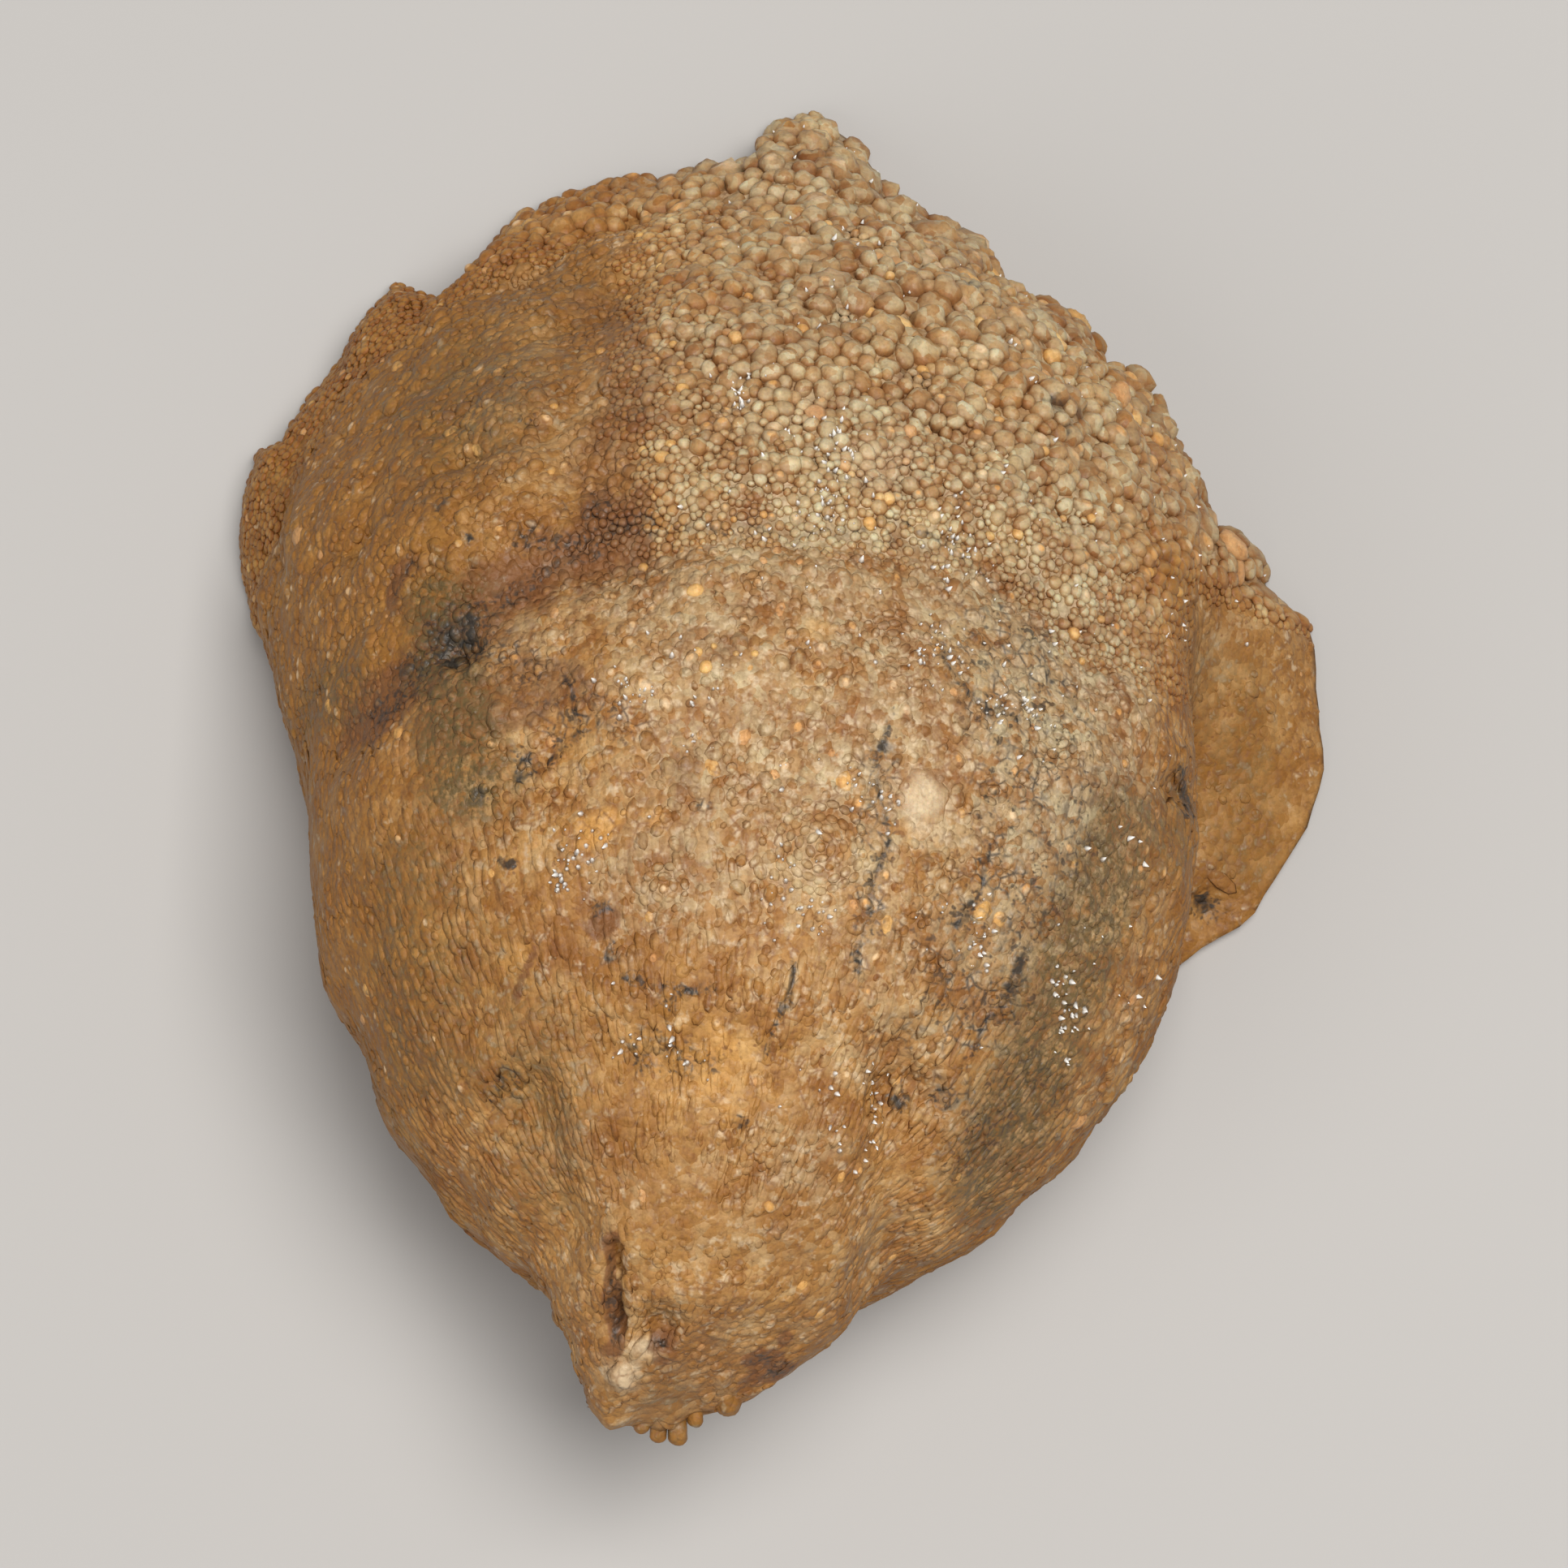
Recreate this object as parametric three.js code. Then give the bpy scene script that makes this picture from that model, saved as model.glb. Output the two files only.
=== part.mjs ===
// A fossil horn coral: the silicified skeleton of one solitary coral, short, wide and curved. It lies mouth
// down on the broken rim of its calice, and the snapped tip of the horn leans out to -Y.
//
// Millimetres, +Z up. The skin is drawn round the middle of the calice and then moved, so that the
// origin is on the ground under the middle of the whole coral.
import * as THREE from "three";

// ---- Driving dimensions ---------------------------------------------------------------------------

// Middle of the whole coral's footprint, measured from the middle of its calice.
const FOOTPRINT_MIDDLE = { x: -0.2, y: -5.9 };

// Cross-sections of the horn from its tip to just above the mouth. crest and belly are the [y, z] of a
// section's upper and lower ends, and left and right are the x of its sides.
const SECTIONS = [
  { crest: [-32.6, 16.0], belly: [-33.0, 12.0], left: -7.0, right: -2.6 }, // broken tip
  { crest: [-30.8, 18.1], belly: [-31.8, 11.1], left: -8.1, right: -1.1 },
  { crest: [-28.5, 20.2], belly: [-29.9, 9.8], left: -8.7, right: 2.1 }, // neck
  { crest: [-25.9, 22.0], belly: [-28.5, 8.7], left: -9.6, right: 3.9 },
  { crest: [-21.3, 24.0], belly: [-27.7, 7.4], left: -12.3, right: 7.8 },
  { crest: [-14.9, 25.4], belly: [-26.1, 5.9], left: -15.1, right: 11.7 },
  { crest: [-7.3, 25.1], belly: [-23.3, 4.5], left: -17.4, right: 14.8 }, // widest growth stage
  { crest: [0.7, 22.5], belly: [-20.5, 3.3], left: -18.4, right: 15.6 },
  { crest: [9.0, 16.6], belly: [-18.2, 2.6], left: -19.7, right: 15.8 },
  { crest: [15.2, 8.6], belly: [-16.8, 2.1], left: -20.2, right: 16.7 },
];

// Broken edge of the calice as [degrees anticlockwise from +X, radius]. It flares into an ear on the
// right, ends in a step on either side, and stands out in a point at the back.
const RIM = [
  [3, 21.2], [6, 19.9], [12, 19.6], [14, 17.9], [24, 17.8], [35, 17.9], [41, 16.8], [46, 17.7],
  [60, 16.9], [65, 18.5], [77, 19.8], [83, 21.8], [87, 22.7], [91, 22.1], [93, 20.6], [104, 20.6],
  [112, 21.2], [122, 21.3], [130, 20.4], [134, 20.6], [136, 22.4], [146, 22.1], [157, 22.3],
  [159, 23.2], [163, 23.1], [170, 22.5], [176, 21.8], [179, 20.8], [190, 19.8], [210, 18.8],
  [235, 17.6], [262, 17.2], [290, 17.4], [312, 18.6], [318, 20.2], [325, 20.8], [329, 21.6],
  [337, 22.0], [347, 22.3], [356, 21.4],
];
const RIM_HEIGHT = 0.8; // the rim's outer edge, above the ground
const RIM_WALL = 2.0; // thickness of the wall at the rim
const RIM_ROUNDING = 0.45; // how far the rim's edges are worn round
const TOOTH_REACH = 1.0; // how many sections up from the rim its teeth and notches run
const CALM_OFFSETS = [-24, -16, -8, 0, 8, 16, 24]; // degrees over which they are averaged out

// Where the rim touches the ground, in degrees. Between these feet it is worn back a little.
const FEET = [25, 90, 155, 215, 270, 325];
const FOOT_HALF_WIDTH = 7; // degrees
const WORN_BACK = 0.4;

const CALICE_DEPTH = 11.5;
const CALICE_FLATNESS = 2.6; // a higher power gives a flatter floor and steeper walls
const SEPTA = 36;
const SEPTUM_HEIGHT = 1.0;
const SEPTUM_LEAN = 0.7; // share of its height that a septum takes both inwards and downwards
const SEPTUM_START = 0.15; // share of the way in from the lip where a septum is full height
const SEPTUM_END = 0.6; // share of the way out from the middle where it starts to run out
const CALM_LIP = 0.25; // share of the way in where the rim's teeth no longer show
const FOSSULA_SEPTUM = 9; // the septum that is missing, straight behind the middle
const BOSS = { height: 1.3, radius: 2.2 }; // the low knob in the middle of the calice

// Growth line: the trough where the coral paused before its last, coarse and lumpy stage, as [x, y].
const GROWTH_LINE = [[-16.4, -7.2], [-9.4, -1.8], [-3.6, -0.5], [7.0, -0.4], [12.0, -4.5]];
const GROWTH_TROUGH = { width: 2.2, depth: 0.7 };
// Furrow that runs from the growth line back to the rim, left of the middle.
const FURROW = [[-6.3, -0.1], [-7.4, 3.0], [-8.4, 7.4], [-7.3, 11.8]];
const FURROW_TROUGH = { width: 3.2, depth: 0.8 };
// Creases on both sides of the neck, where it meets the shoulders of the body.
const RIGHT_CREASE = [[4.2, -20.5], [4.2, -23.1], [3.9, -25.3], [3.5, -27.6]];
const LEFT_CREASE = [[-9.9, -22.0], [-8.4, -26.4]];
const CREASE_TROUGH = { width: 2.0, depth: 0.8 };
// Slit along the top of the neck, and the small pits beside it and on the body.
const NECK_SLIT = [[-6.4, -27.2], [-6.4, -29.9]];
const SLIT_TROUGH = { width: 0.9, depth: 0.8 };
const PITS = [[-4.7, -30.1], [4.0, -22.0], [5.2, -21.6], [-12.4, -4.7], [15.1, -9.0], [16.9, -10.9]];
const PIT_TROUGH = { width: 1.3, depth: 0.8 };

const FACING_UP = 0.35; // upward part of a normal from which these troughs and pits are full depth
const RIM_FADE = 0.5; // how many sections below the rim the lumps start to fade
const LATE_STAGE = [-3, 1.5]; // the y between which the last, coarse stage of growth sets in

const BROAD_LUMPS = { size: 7.0, height: 0.4 };
const SMALL_LUMPS = { size: 3.1, height: 0.3 };
const KNOBS = { size: 3.2, height: 1.2 }; // the botryoidal lumps behind the growth line
const WRINKLES = { perSection: 1.2, height: 0.15 }; // growth wrinkles round the horn

// The snapped tip: rings from its middle to its edge as a share of the way and a distance out.
const TIP_STEPS = [{ share: 0, out: 0.5 }, { share: 0.5, out: 0.7 }, { share: 0.88, out: 0.5 }];
const TIP_FINGERS = { count: 12, length: 0.6, lip: [0.1, 0.6] };
// The oblique break across it: what stands out beyond this plane is nearly flat.
const BREAK = { point: [-6.0, -31.3, 17.1], outward: [0.237, -0.875, 0.418], flatness: 0.9 };

const AROUND = 3 * SEPTA; // points round a ring: three to a septum
const WALL_ROWS = 33; // rings from the tip to the rim
const TIP_CROWDING = 0.72; // under 1 sets the rings closer where the sections are further apart
const CALICE_ROWS = 8;

const STONE = new THREE.MeshStandardMaterial({ color: 0xa5845c, roughness: 0.6, metalness: 0 });

// ---- Numbers that repeat the same way every time ----------------------------------------------------

const { clamp, lerp, degToRad, radToDeg, smoothstep } = THREE.MathUtils;

// A number from 0 to 1 that belongs to one corner of a grid.
function grain(i, j, k) {
  const wave = Math.sin(i * 127.1 + j * 311.7 + k * 74.7) * 43758.5453;
  return wave - Math.floor(wave);
}

// Smooth noise from -1 to 1 with features of about the given size.
function noise(p, size) {
  const [x, y, z] = [p.x / size, p.y / size, p.z / size];
  const [i, j, k] = [Math.floor(x), Math.floor(y), Math.floor(z)];
  const ease = (t) => t * t * (3 - 2 * t);
  const [u, v, w] = [ease(x - i), ease(y - j), ease(z - k)];
  const row = (b, c) => lerp(grain(i, j + b, k + c), grain(i + 1, j + b, k + c), u);
  const sheet = (c) => lerp(row(0, c), row(1, c), v);
  return 2 * lerp(sheet(0), sheet(1), w) - 1;
}

// Height from 0 to 1 of a field of round knobs that crowd together, about the given size apart.
function knobs(p, size) {
  const [x, y, z] = [p.x / size, p.y / size, p.z / size];
  const [i, j, k] = [Math.floor(x), Math.floor(y), Math.floor(z)];
  let nearest = 1;
  for (let a = i - 1; a <= i + 1; a++)
    for (let b = j - 1; b <= j + 1; b++)
      for (let c = k - 1; c <= k + 1; c++) {
        const dx = a + grain(a, b, c) - x;
        const dy = b + grain(b, c, a) - y;
        const dz = c + grain(c, a, b) - z;
        nearest = Math.min(nearest, dx * dx + dy * dy + dz * dz);
      }
  return Math.sqrt(1 - nearest);
}

// ---- Shapes seen from above ---------------------------------------------------------------------------

// Distance in plan from a point to a line of [x, y] points.
function distanceTo(line, p) {
  let nearest = Infinity;
  for (let n = 0; n + 1 < line.length; n++) {
    const [[ax, ay], [bx, by]] = [line[n], line[n + 1]];
    const along = ((p.x - ax) * (bx - ax) + (p.y - ay) * (by - ay)) / ((bx - ax) ** 2 + (by - ay) ** 2);
    const t = clamp(along, 0, 1);
    nearest = Math.min(nearest, Math.hypot(p.x - lerp(ax, bx, t), p.y - lerp(ay, by, t)));
  }
  return nearest;
}

// Depth of a rounded trough at a distance from its middle.
function trough(distance, { width, depth }) {
  return depth * (1 - smoothstep(distance, 0, width));
}

// Radius of the broken rim at an angle in degrees, straight between the points of RIM.
function rimRadius(degrees) {
  const turn = ((degrees % 360) + 360) % 360;
  const after = RIM.findIndex(([angle]) => angle > turn);
  const [endAngle, endRadius] = RIM[Math.max(after, 0)];
  const [startAngle, startRadius] = RIM[(after <= 0 ? RIM.length : after) - 1];
  const span = (endAngle - startAngle + 360) % 360;
  return lerp(startRadius, endRadius, ((turn - startAngle + 360) % 360) / span);
}

// The same radius with its teeth and notches averaged out.
function calmRadius(degrees) {
  const radii = CALM_OFFSETS.map((offset) => rimRadius(degrees + offset));
  return radii.reduce((sum, radius) => sum + radius) / radii.length;
}

// How far the rim is worn back from the ground at an angle in degrees.
function wornBack(degrees) {
  const gaps = FEET.map((foot) => Math.abs(((degrees - foot + 540) % 360) - 180));
  return WORN_BACK * smoothstep(Math.min(...gaps), FOOT_HALF_WIDTH, 2 * FOOT_HALF_WIDTH);
}

// ---- The horn's wall ----------------------------------------------------------------------------------

// One point of a section. The angle runs from the right side over the crest to the left.
function sectionPoint({ crest, belly, left, right }, angle) {
  const across = (1 + Math.cos(angle)) / 2;
  const over = (1 + Math.sin(angle)) / 2;
  return new THREE.Vector3(
    lerp(left, right, across),
    lerp(belly[0], crest[0], over),
    lerp(belly[1], crest[1], over),
  );
}

function polar(radius, angle, height) {
  return new THREE.Vector3(radius * Math.cos(angle), radius * Math.sin(angle), height);
}

// The wall's line from the tip to the rim at one angle, before any teeth and lumps.
function wallLine(angle) {
  const points = SECTIONS.map((section) => sectionPoint(section, angle));
  points.push(polar(calmRadius(radToDeg(angle)), angle, RIM_HEIGHT));
  return new THREE.CatmullRomCurve3(points, false, "catmullrom");
}

// How far the rim's teeth and notches push the wall out at one angle and stage of growth.
function tooth(angle, stage) {
  const degrees = radToDeg(angle);
  const nearRim = smoothstep(stage, SECTIONS.length - TOOTH_REACH, SECTIONS.length);
  return polar((rimRadius(degrees) - calmRadius(degrees)) * nearRim, angle, 0);
}

// How far the surface stands out from the smooth wall. Stage runs from 0 at the tip to the number of
// sections at the rim, and facing is the upward part of the wall's normal.
function relief(p, stage, facing) {
  const last = SECTIONS.length;
  const open = smoothstep(facing, 0, FACING_UP); // the plan features are on the upper side only
  const fade = smoothstep(last - stage, 0, RIM_FADE) * smoothstep(stage, 0, 1);
  const lateStage = smoothstep(p.y, ...LATE_STAGE);
  const broad = noise(p, BROAD_LUMPS.size);
  const lumps = BROAD_LUMPS.height * broad + SMALL_LUMPS.height * noise(p, SMALL_LUMPS.size);
  const botryoids = KNOBS.height * lateStage * (knobs(p, KNOBS.size) - 0.5);
  const phase = 2 * Math.PI * WRINKLES.perSection * stage + 2 * broad;
  const wrinkles = WRINKLES.height * (1 - lateStage) * Math.sin(phase);
  const troughs = trough(distanceTo(GROWTH_LINE, p), GROWTH_TROUGH) +
    trough(distanceTo(FURROW, p), FURROW_TROUGH) +
    trough(distanceTo(RIGHT_CREASE, p), CREASE_TROUGH) +
    trough(distanceTo(LEFT_CREASE, p), CREASE_TROUGH) +
    trough(distanceTo(NECK_SLIT, p), SLIT_TROUGH);
  const pits = PITS.map(([x, y]) => trough(Math.hypot(p.x - x, p.y - y), PIT_TROUGH));
  return fade * (lumps + botryoids + wrinkles) - open * (troughs + Math.max(...pits));
}

// Flattens what stands out beyond the oblique break of the tip.
function snapped(point) {
  const outward = new THREE.Vector3(...BREAK.outward).normalize();
  const beyond = point.clone().sub(new THREE.Vector3(...BREAK.point)).dot(outward);
  return point.addScaledVector(outward, -BREAK.flatness * Math.max(beyond, 0));
}

// Rings of the wall from tip to rim, with their relief.
function wallRings(angles) {
  const lines = angles.map(wallLine);
  const stageOf = (row) => SECTIONS.length * (row / WALL_ROWS) ** TIP_CROWDING;
  const at = (row, column) => {
    const turn = (column + AROUND) % AROUND;
    return lines[turn].getPoint(stageOf(row) / SECTIONS.length).add(tooth(angles[turn], stageOf(row)));
  };
  return Array.from({ length: WALL_ROWS + 1 }, (_, row) =>
    angles.map((_, column) => {
      const point = at(row, column);
      const onward = at(Math.min(row + 0.5, WALL_ROWS), column).sub(at(Math.max(row - 0.5, 0), column));
      const aside = at(row, column + 1).sub(at(row, column - 1));
      const outward = onward.cross(aside).normalize();
      return snapped(point.addScaledVector(outward, relief(point, stageOf(row), outward.z)));
    }),
  );
}

// The snapped tip: rings that close it, with a row of little fingers along its lower lip.
function tipRings(angles) {
  const [tip] = SECTIONS;
  const middle = sectionPoint(tip, 0).add(sectionPoint(tip, Math.PI)).multiplyScalar(0.5);
  return TIP_STEPS.map(({ share, out }) =>
    angles.map((angle) => {
      const lip = smoothstep(-Math.sin(angle), ...TIP_FINGERS.lip) * share;
      const finger = TIP_FINGERS.length * lip * Math.abs(Math.cos((angle * TIP_FINGERS.count) / 2));
      const point = middle.clone().lerp(sectionPoint(tip, angle), share);
      point.y -= out;
      return snapped(point).add(new THREE.Vector3(0, -finger, 0));
    }),
  );
}

// ---- The rim and the calice ---------------------------------------------------------------------------

// The rim's underside, which the coral stands on.
function rimRings(angles) {
  const insets = [RIM_ROUNDING, RIM_WALL - RIM_ROUNDING];
  return insets.map((inset) =>
    angles.map((angle) => {
      const degrees = radToDeg(angle);
      return polar(rimRadius(degrees) - inset, angle, wornBack(degrees));
    }),
  );
}

// The calice: a bowl with septa that stand out from its wall and run in to a low boss.
function caliceRings(angles) {
  const lip = RIM_HEIGHT / 2 + WORN_BACK;
  return Array.from({ length: CALICE_ROWS + 1 }, (_, row) => {
    const share = 1 - row / CALICE_ROWS;
    return angles.map((angle, column) => {
      const degrees = radToDeg(angle);
      const calm = smoothstep(1 - share, 0, CALM_LIP);
      const radius = share * (lerp(rimRadius(degrees), calmRadius(degrees), calm) - RIM_WALL);
      const height = lerp(lip, CALICE_DEPTH, 1 - share ** CALICE_FLATNESS);
      const boss = BOSS.height * Math.exp(-((radius / BOSS.radius) ** 2));
      const isSeptum = column % 3 === 0 && column / 3 !== FOSSULA_SEPTUM;
      const fullness = smoothstep(1 - share, 0, SEPTUM_START) * smoothstep(share, 0, SEPTUM_END);
      const lean = isSeptum ? SEPTUM_LEAN * SEPTUM_HEIGHT * fullness : 0;
      return polar(radius - lean, angle, height - boss - lean);
    });
  });
}

// ---- One closed skin ----------------------------------------------------------------------------------

// Joins rings into one closed skin. The first and last rings are single points, drawn AROUND times.
function closedSkin(rings) {
  const poles = [rings[0][0], rings.at(-1)[0]];
  const loops = rings.slice(1, -1);
  const points = [...loops.flat(), ...poles];
  const [firstPole, lastPole] = [points.length - 2, points.length - 1];
  const faces = [];
  for (let column = 0; column < AROUND; column++) {
    const next = (column + 1) % AROUND;
    faces.push(firstPole, column, next);
    for (let row = 0; row + 1 < loops.length; row++) {
      const [a, b] = [row * AROUND + column, row * AROUND + next];
      const [c, d] = [a + AROUND, b + AROUND];
      faces.push(a, c, d, a, d, b);
    }
    const base = (loops.length - 1) * AROUND;
    faces.push(base + column, lastPole, base + next);
  }
  const skin = new THREE.BufferGeometry().setFromPoints(points);
  skin.setIndex(faces);
  skin.computeVertexNormals();
  return skin;
}

function hornCoral() {
  const angles = Array.from({ length: AROUND }, (_, column) => degToRad((360 * column) / AROUND));
  const rings = [...tipRings(angles), ...wallRings(angles), ...rimRings(angles), ...caliceRings(angles)];
  const skin = closedSkin(rings).translate(-FOOTPRINT_MIDDLE.x, -FOOTPRINT_MIDDLE.y, 0);
  const coral = new THREE.Mesh(skin, STONE);
  coral.name = "horn_coral";
  return coral;
}

const part = new THREE.Group();
part.add(hornCoral());

export default part;
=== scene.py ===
import math

import bmesh
import bpy
import numpy as np
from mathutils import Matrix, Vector
from mathutils.kdtree import KDTree


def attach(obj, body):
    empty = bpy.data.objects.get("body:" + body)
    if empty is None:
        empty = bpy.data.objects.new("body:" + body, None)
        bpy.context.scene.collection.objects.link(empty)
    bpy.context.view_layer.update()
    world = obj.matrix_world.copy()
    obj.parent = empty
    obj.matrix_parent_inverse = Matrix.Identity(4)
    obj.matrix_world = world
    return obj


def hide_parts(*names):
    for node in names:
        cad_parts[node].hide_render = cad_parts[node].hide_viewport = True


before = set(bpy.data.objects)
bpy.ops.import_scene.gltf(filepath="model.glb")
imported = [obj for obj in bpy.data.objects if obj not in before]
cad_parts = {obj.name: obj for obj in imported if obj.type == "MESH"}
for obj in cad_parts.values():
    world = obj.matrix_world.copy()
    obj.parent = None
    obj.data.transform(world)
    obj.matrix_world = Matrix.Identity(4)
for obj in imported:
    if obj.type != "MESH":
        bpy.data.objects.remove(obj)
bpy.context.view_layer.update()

# The looks of a silicified horn coral. One stone skin follows the solid, and beads, granules, ribs of
# grains, ringed rosettes and small quartz points grow on it. The sizes in the tables are millimetres,
# measured from the middle of the calice on the ground, and to_frame turns them into the frame's metres.

NODE = "horn_coral"
MM = 0.001
CALICE_MIDDLE = np.array([0.2, 5.9, 0.0])  # from the origin of the frame, in millimetres

# ---- The horn's form, as in the solid -------------------------------------------------------------

# Cross-sections from the tip to just above the mouth: crest y, z, belly y, z, left x, right x.
SECTIONS = np.array([
    (-32.6, 16.0, -33.0, 12.0, -7.0, -2.6),
    (-30.8, 18.1, -31.8, 11.1, -8.1, -1.1),
    (-28.5, 20.2, -29.9, 9.8, -8.7, 2.1),
    (-25.9, 22.0, -28.5, 8.7, -9.6, 3.9),
    (-21.3, 24.0, -27.7, 7.4, -12.3, 7.8),
    (-14.9, 25.4, -26.1, 5.9, -15.1, 11.7),
    (-7.3, 25.1, -23.3, 4.5, -17.4, 14.8),
    (0.7, 22.5, -20.5, 3.3, -18.4, 15.6),
    (9.0, 16.6, -18.2, 2.6, -19.7, 15.8),
    (15.2, 8.6, -16.8, 2.1, -20.2, 16.7),
])
LAST = len(SECTIONS)  # the stage of growth at the rim, where the tip is 0

# The broken rim: degrees anticlockwise from +X, and radius.
RIM = np.array([
    (3, 21.2), (6, 19.9), (12, 19.6), (14, 17.9), (24, 17.8), (35, 17.9), (41, 16.8), (46, 17.7),
    (60, 16.9), (65, 18.5), (77, 19.8), (83, 21.8), (87, 22.7), (91, 22.1), (93, 20.6), (104, 20.6),
    (112, 21.2), (122, 21.3), (130, 20.4), (134, 20.6), (136, 22.4), (146, 22.1), (157, 22.3),
    (159, 23.2), (163, 23.1), (170, 22.5), (176, 21.8), (179, 20.8), (190, 19.8), (210, 18.8),
    (235, 17.6), (262, 17.2), (290, 17.4), (312, 18.6), (318, 20.2), (325, 20.8), (329, 21.6),
    (337, 22.0), (347, 22.3), (356, 21.4),
])
RIM_HEIGHT = 0.8
RIM_WALL = 2.0
RIM_ROUNDING = 0.45
RIM_MEAN = 20.0
RIM_CHIPS, CHIP_DEPTH = ((1.3, 1), (0.6, 0.5)), 0.13  # noise along the broken edge, as (size, strength)
TOOTH_REACH = 1.0
CALM_OFFSETS = (-24, -16, -8, 0, 8, 16, 24)
FEET = (25, 90, 155, 215, 270, 325)
FOOT_HALF_WIDTH = 7
WORN_BACK = 0.4
CALICE_LIP = RIM_HEIGHT / 2 + WORN_BACK  # height of the inner edge of the rim

CALICE_DEPTH = 11.5
CALICE_GRAIN, SEPTUM_GRAIN = ((0.9, 0.14), (3.0, 0.2)), 0.1
CALICE_FLATNESS = 2.6
SEPTUM_SPACING = 10  # degrees
SEPTUM_HEIGHT = 1.0
SEPTUM_LEAN = 0.7  # share of its height that a septum takes both inwards and downwards
MINOR_SEPTUM_HEIGHT = 0.4
FOSSULA, FOSSULA_EDGE = 90, (4, 7)  # degrees: where one septum is missing, and how far the gap reaches
# Where a septum falls off to each side, as shares of the spacing.
SEPTUM_EDGE, MINOR_SEPTUM_EDGE = (0.06, 0.26), (0.04, 0.18)
BOSS_HEIGHT, BOSS_RADIUS = 1.3, 2.2

GROWTH_LINE = [(-16.4, -7.2), (-9.4, -1.8), (-3.6, -0.5), (7.0, -0.4), (12.0, -4.5)]
LATE_START = (-3, 1.5)  # from which y to which y the last stage of growth sets in
FURROW = [(-6.3, -0.1), (-7.4, 3.0), (-8.4, 7.4), (-7.3, 11.8)]
RIGHT_CREASE = [(4.2, -20.5), (4.2, -23.1), (3.9, -25.3), (3.5, -27.6)]
LEFT_CREASE = [(-9.9, -22.0), (-8.4, -26.4)]
NECK_SLIT = [(-6.4, -27.2), (-6.4, -29.9)]
# Troughs as (line, half width, depth).
TROUGHS = [
    (GROWTH_LINE, 2.2, 0.7), (FURROW, 3.2, 0.8), (RIGHT_CREASE, 2.0, 0.8),
    (LEFT_CREASE, 2.0, 0.8), (NECK_SLIT, 0.55, 0.75),
]
PITS = [(-4.7, -30.1), (4.0, -22.0), (5.2, -21.6), (-12.4, -4.7), (15.1, -9.0), (16.9, -10.9)]
PIT_RADIUS, PIT_DEPTH = 1.3, 0.8
BROAD_LUMPS, BROAD_HEIGHT = 7.0, 0.4
SMALL_LUMPS, SMALL_HEIGHT = 3.1, 0.3
KNOB_SIZE, KNOB_HEIGHT = 3.2, 1.2
BERRY_SIZE, BERRY_HEIGHT = 2.2, 1.1  # lumps that carry several beads
COARSE_START = (-7, 0)  # from which x to which x such lumps set in
WRINKLES, WRINKLE_HEIGHT = 1.2, 0.06
FINGERS, FINGER_LENGTH, FINGER_ROUNDNESS = 12, 0.25, 0.7
TIP_BULGE = ((0, 0.5, 0.88, 1), (0.3, 0.4, 0.25, 0))  # shares of the way out from its middle, and how far
LIP_NOTCH, LIP_NOTCH_REACH = 0.75, 0.7  # how far the snapped tip's lower lip is worn back, over what stage
LIP_SPREAD = (0.1, 0.6)  # how low on the tip, as a share of its height, its lower lip begins and is full
# The oblique break across the tip: a point of its plane, the way out, and how much it flattens.
BREAK_POINT = np.array([-6.0, -31.3, 17.1])
BREAK_OUTWARD = np.array([0.237, -0.875, 0.418]) / np.linalg.norm([0.237, -0.875, 0.418])
BREAK_FLATNESS, BREAK_SLACK, BREAK_ROUGHNESS = 0.9, 0.004, 0.22

EAR_START, EAR_END = (15.0, 16.3), (-0.5, 2.5)  # the x from which the ear sets in, the y where it ends

# ---- What grows on the skin -----------------------------------------------------------------------

# In plan, the skin in front of this line is ribbed with strings of grains. Behind it are granules,
# and behind the growth line beads.
RIB_LINE = [
    (-18.0, -6.0), (-13.0, -8.0), (-8.0, -11.5), (-2.0, -15.0), (4.5, -17.8), (9.0, -19.5), (14.0, -19.0),
]
# Each class of growth as (radius, tries for each square millimetre).
BEADS = (
    (1.0, 0.1), (0.82, 0.2), (0.68, 0.4), (0.56, 0.9), (0.47, 2.0), (0.4, 3.5), (0.34, 5.0), (0.28, 8.0),
    (0.23, 14.0), (0.19, 16.0),
)
GRANULES = ((0.5, 0.08), (0.4, 0.4), (0.33, 1.4), (0.27, 3.5), (0.22, 6.0), (0.17, 7.0))
BEAD_GAP, GRANULE_GAP = 0.62, 0.66  # least distance between middles, as a share of both radii
SMALL_BEAD, RIM_BEAD, BEADED = 0.25, 0.24, 0.2  # radii: in the gaps, at the rim, and where beads begin
# What is added to the largest radius on the right, over the distances (from, to) behind the growth line.
BEAD_GAINS = ((0.12, 0, 4), (0.38, 3, 9))
RIM_GAIN = 0.4
# From where to where beads set in: x on the left, x of coarse ones, distance behind the growth line, and
# the stages of growth of those at the rim and of coarse ones there.
BEADED_X, COARSE_X, BEADED_BEHIND = (-9, -5), (-7, 1), (-3.5, 0.5)
RIM_STAGES, COARSE_RIM_STAGES, COARSE_RIM_X, COARSE_RIM_Y = (8.8, 9.3), (9.2, 9.5), (-16, -6), (-5, 1)
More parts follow.
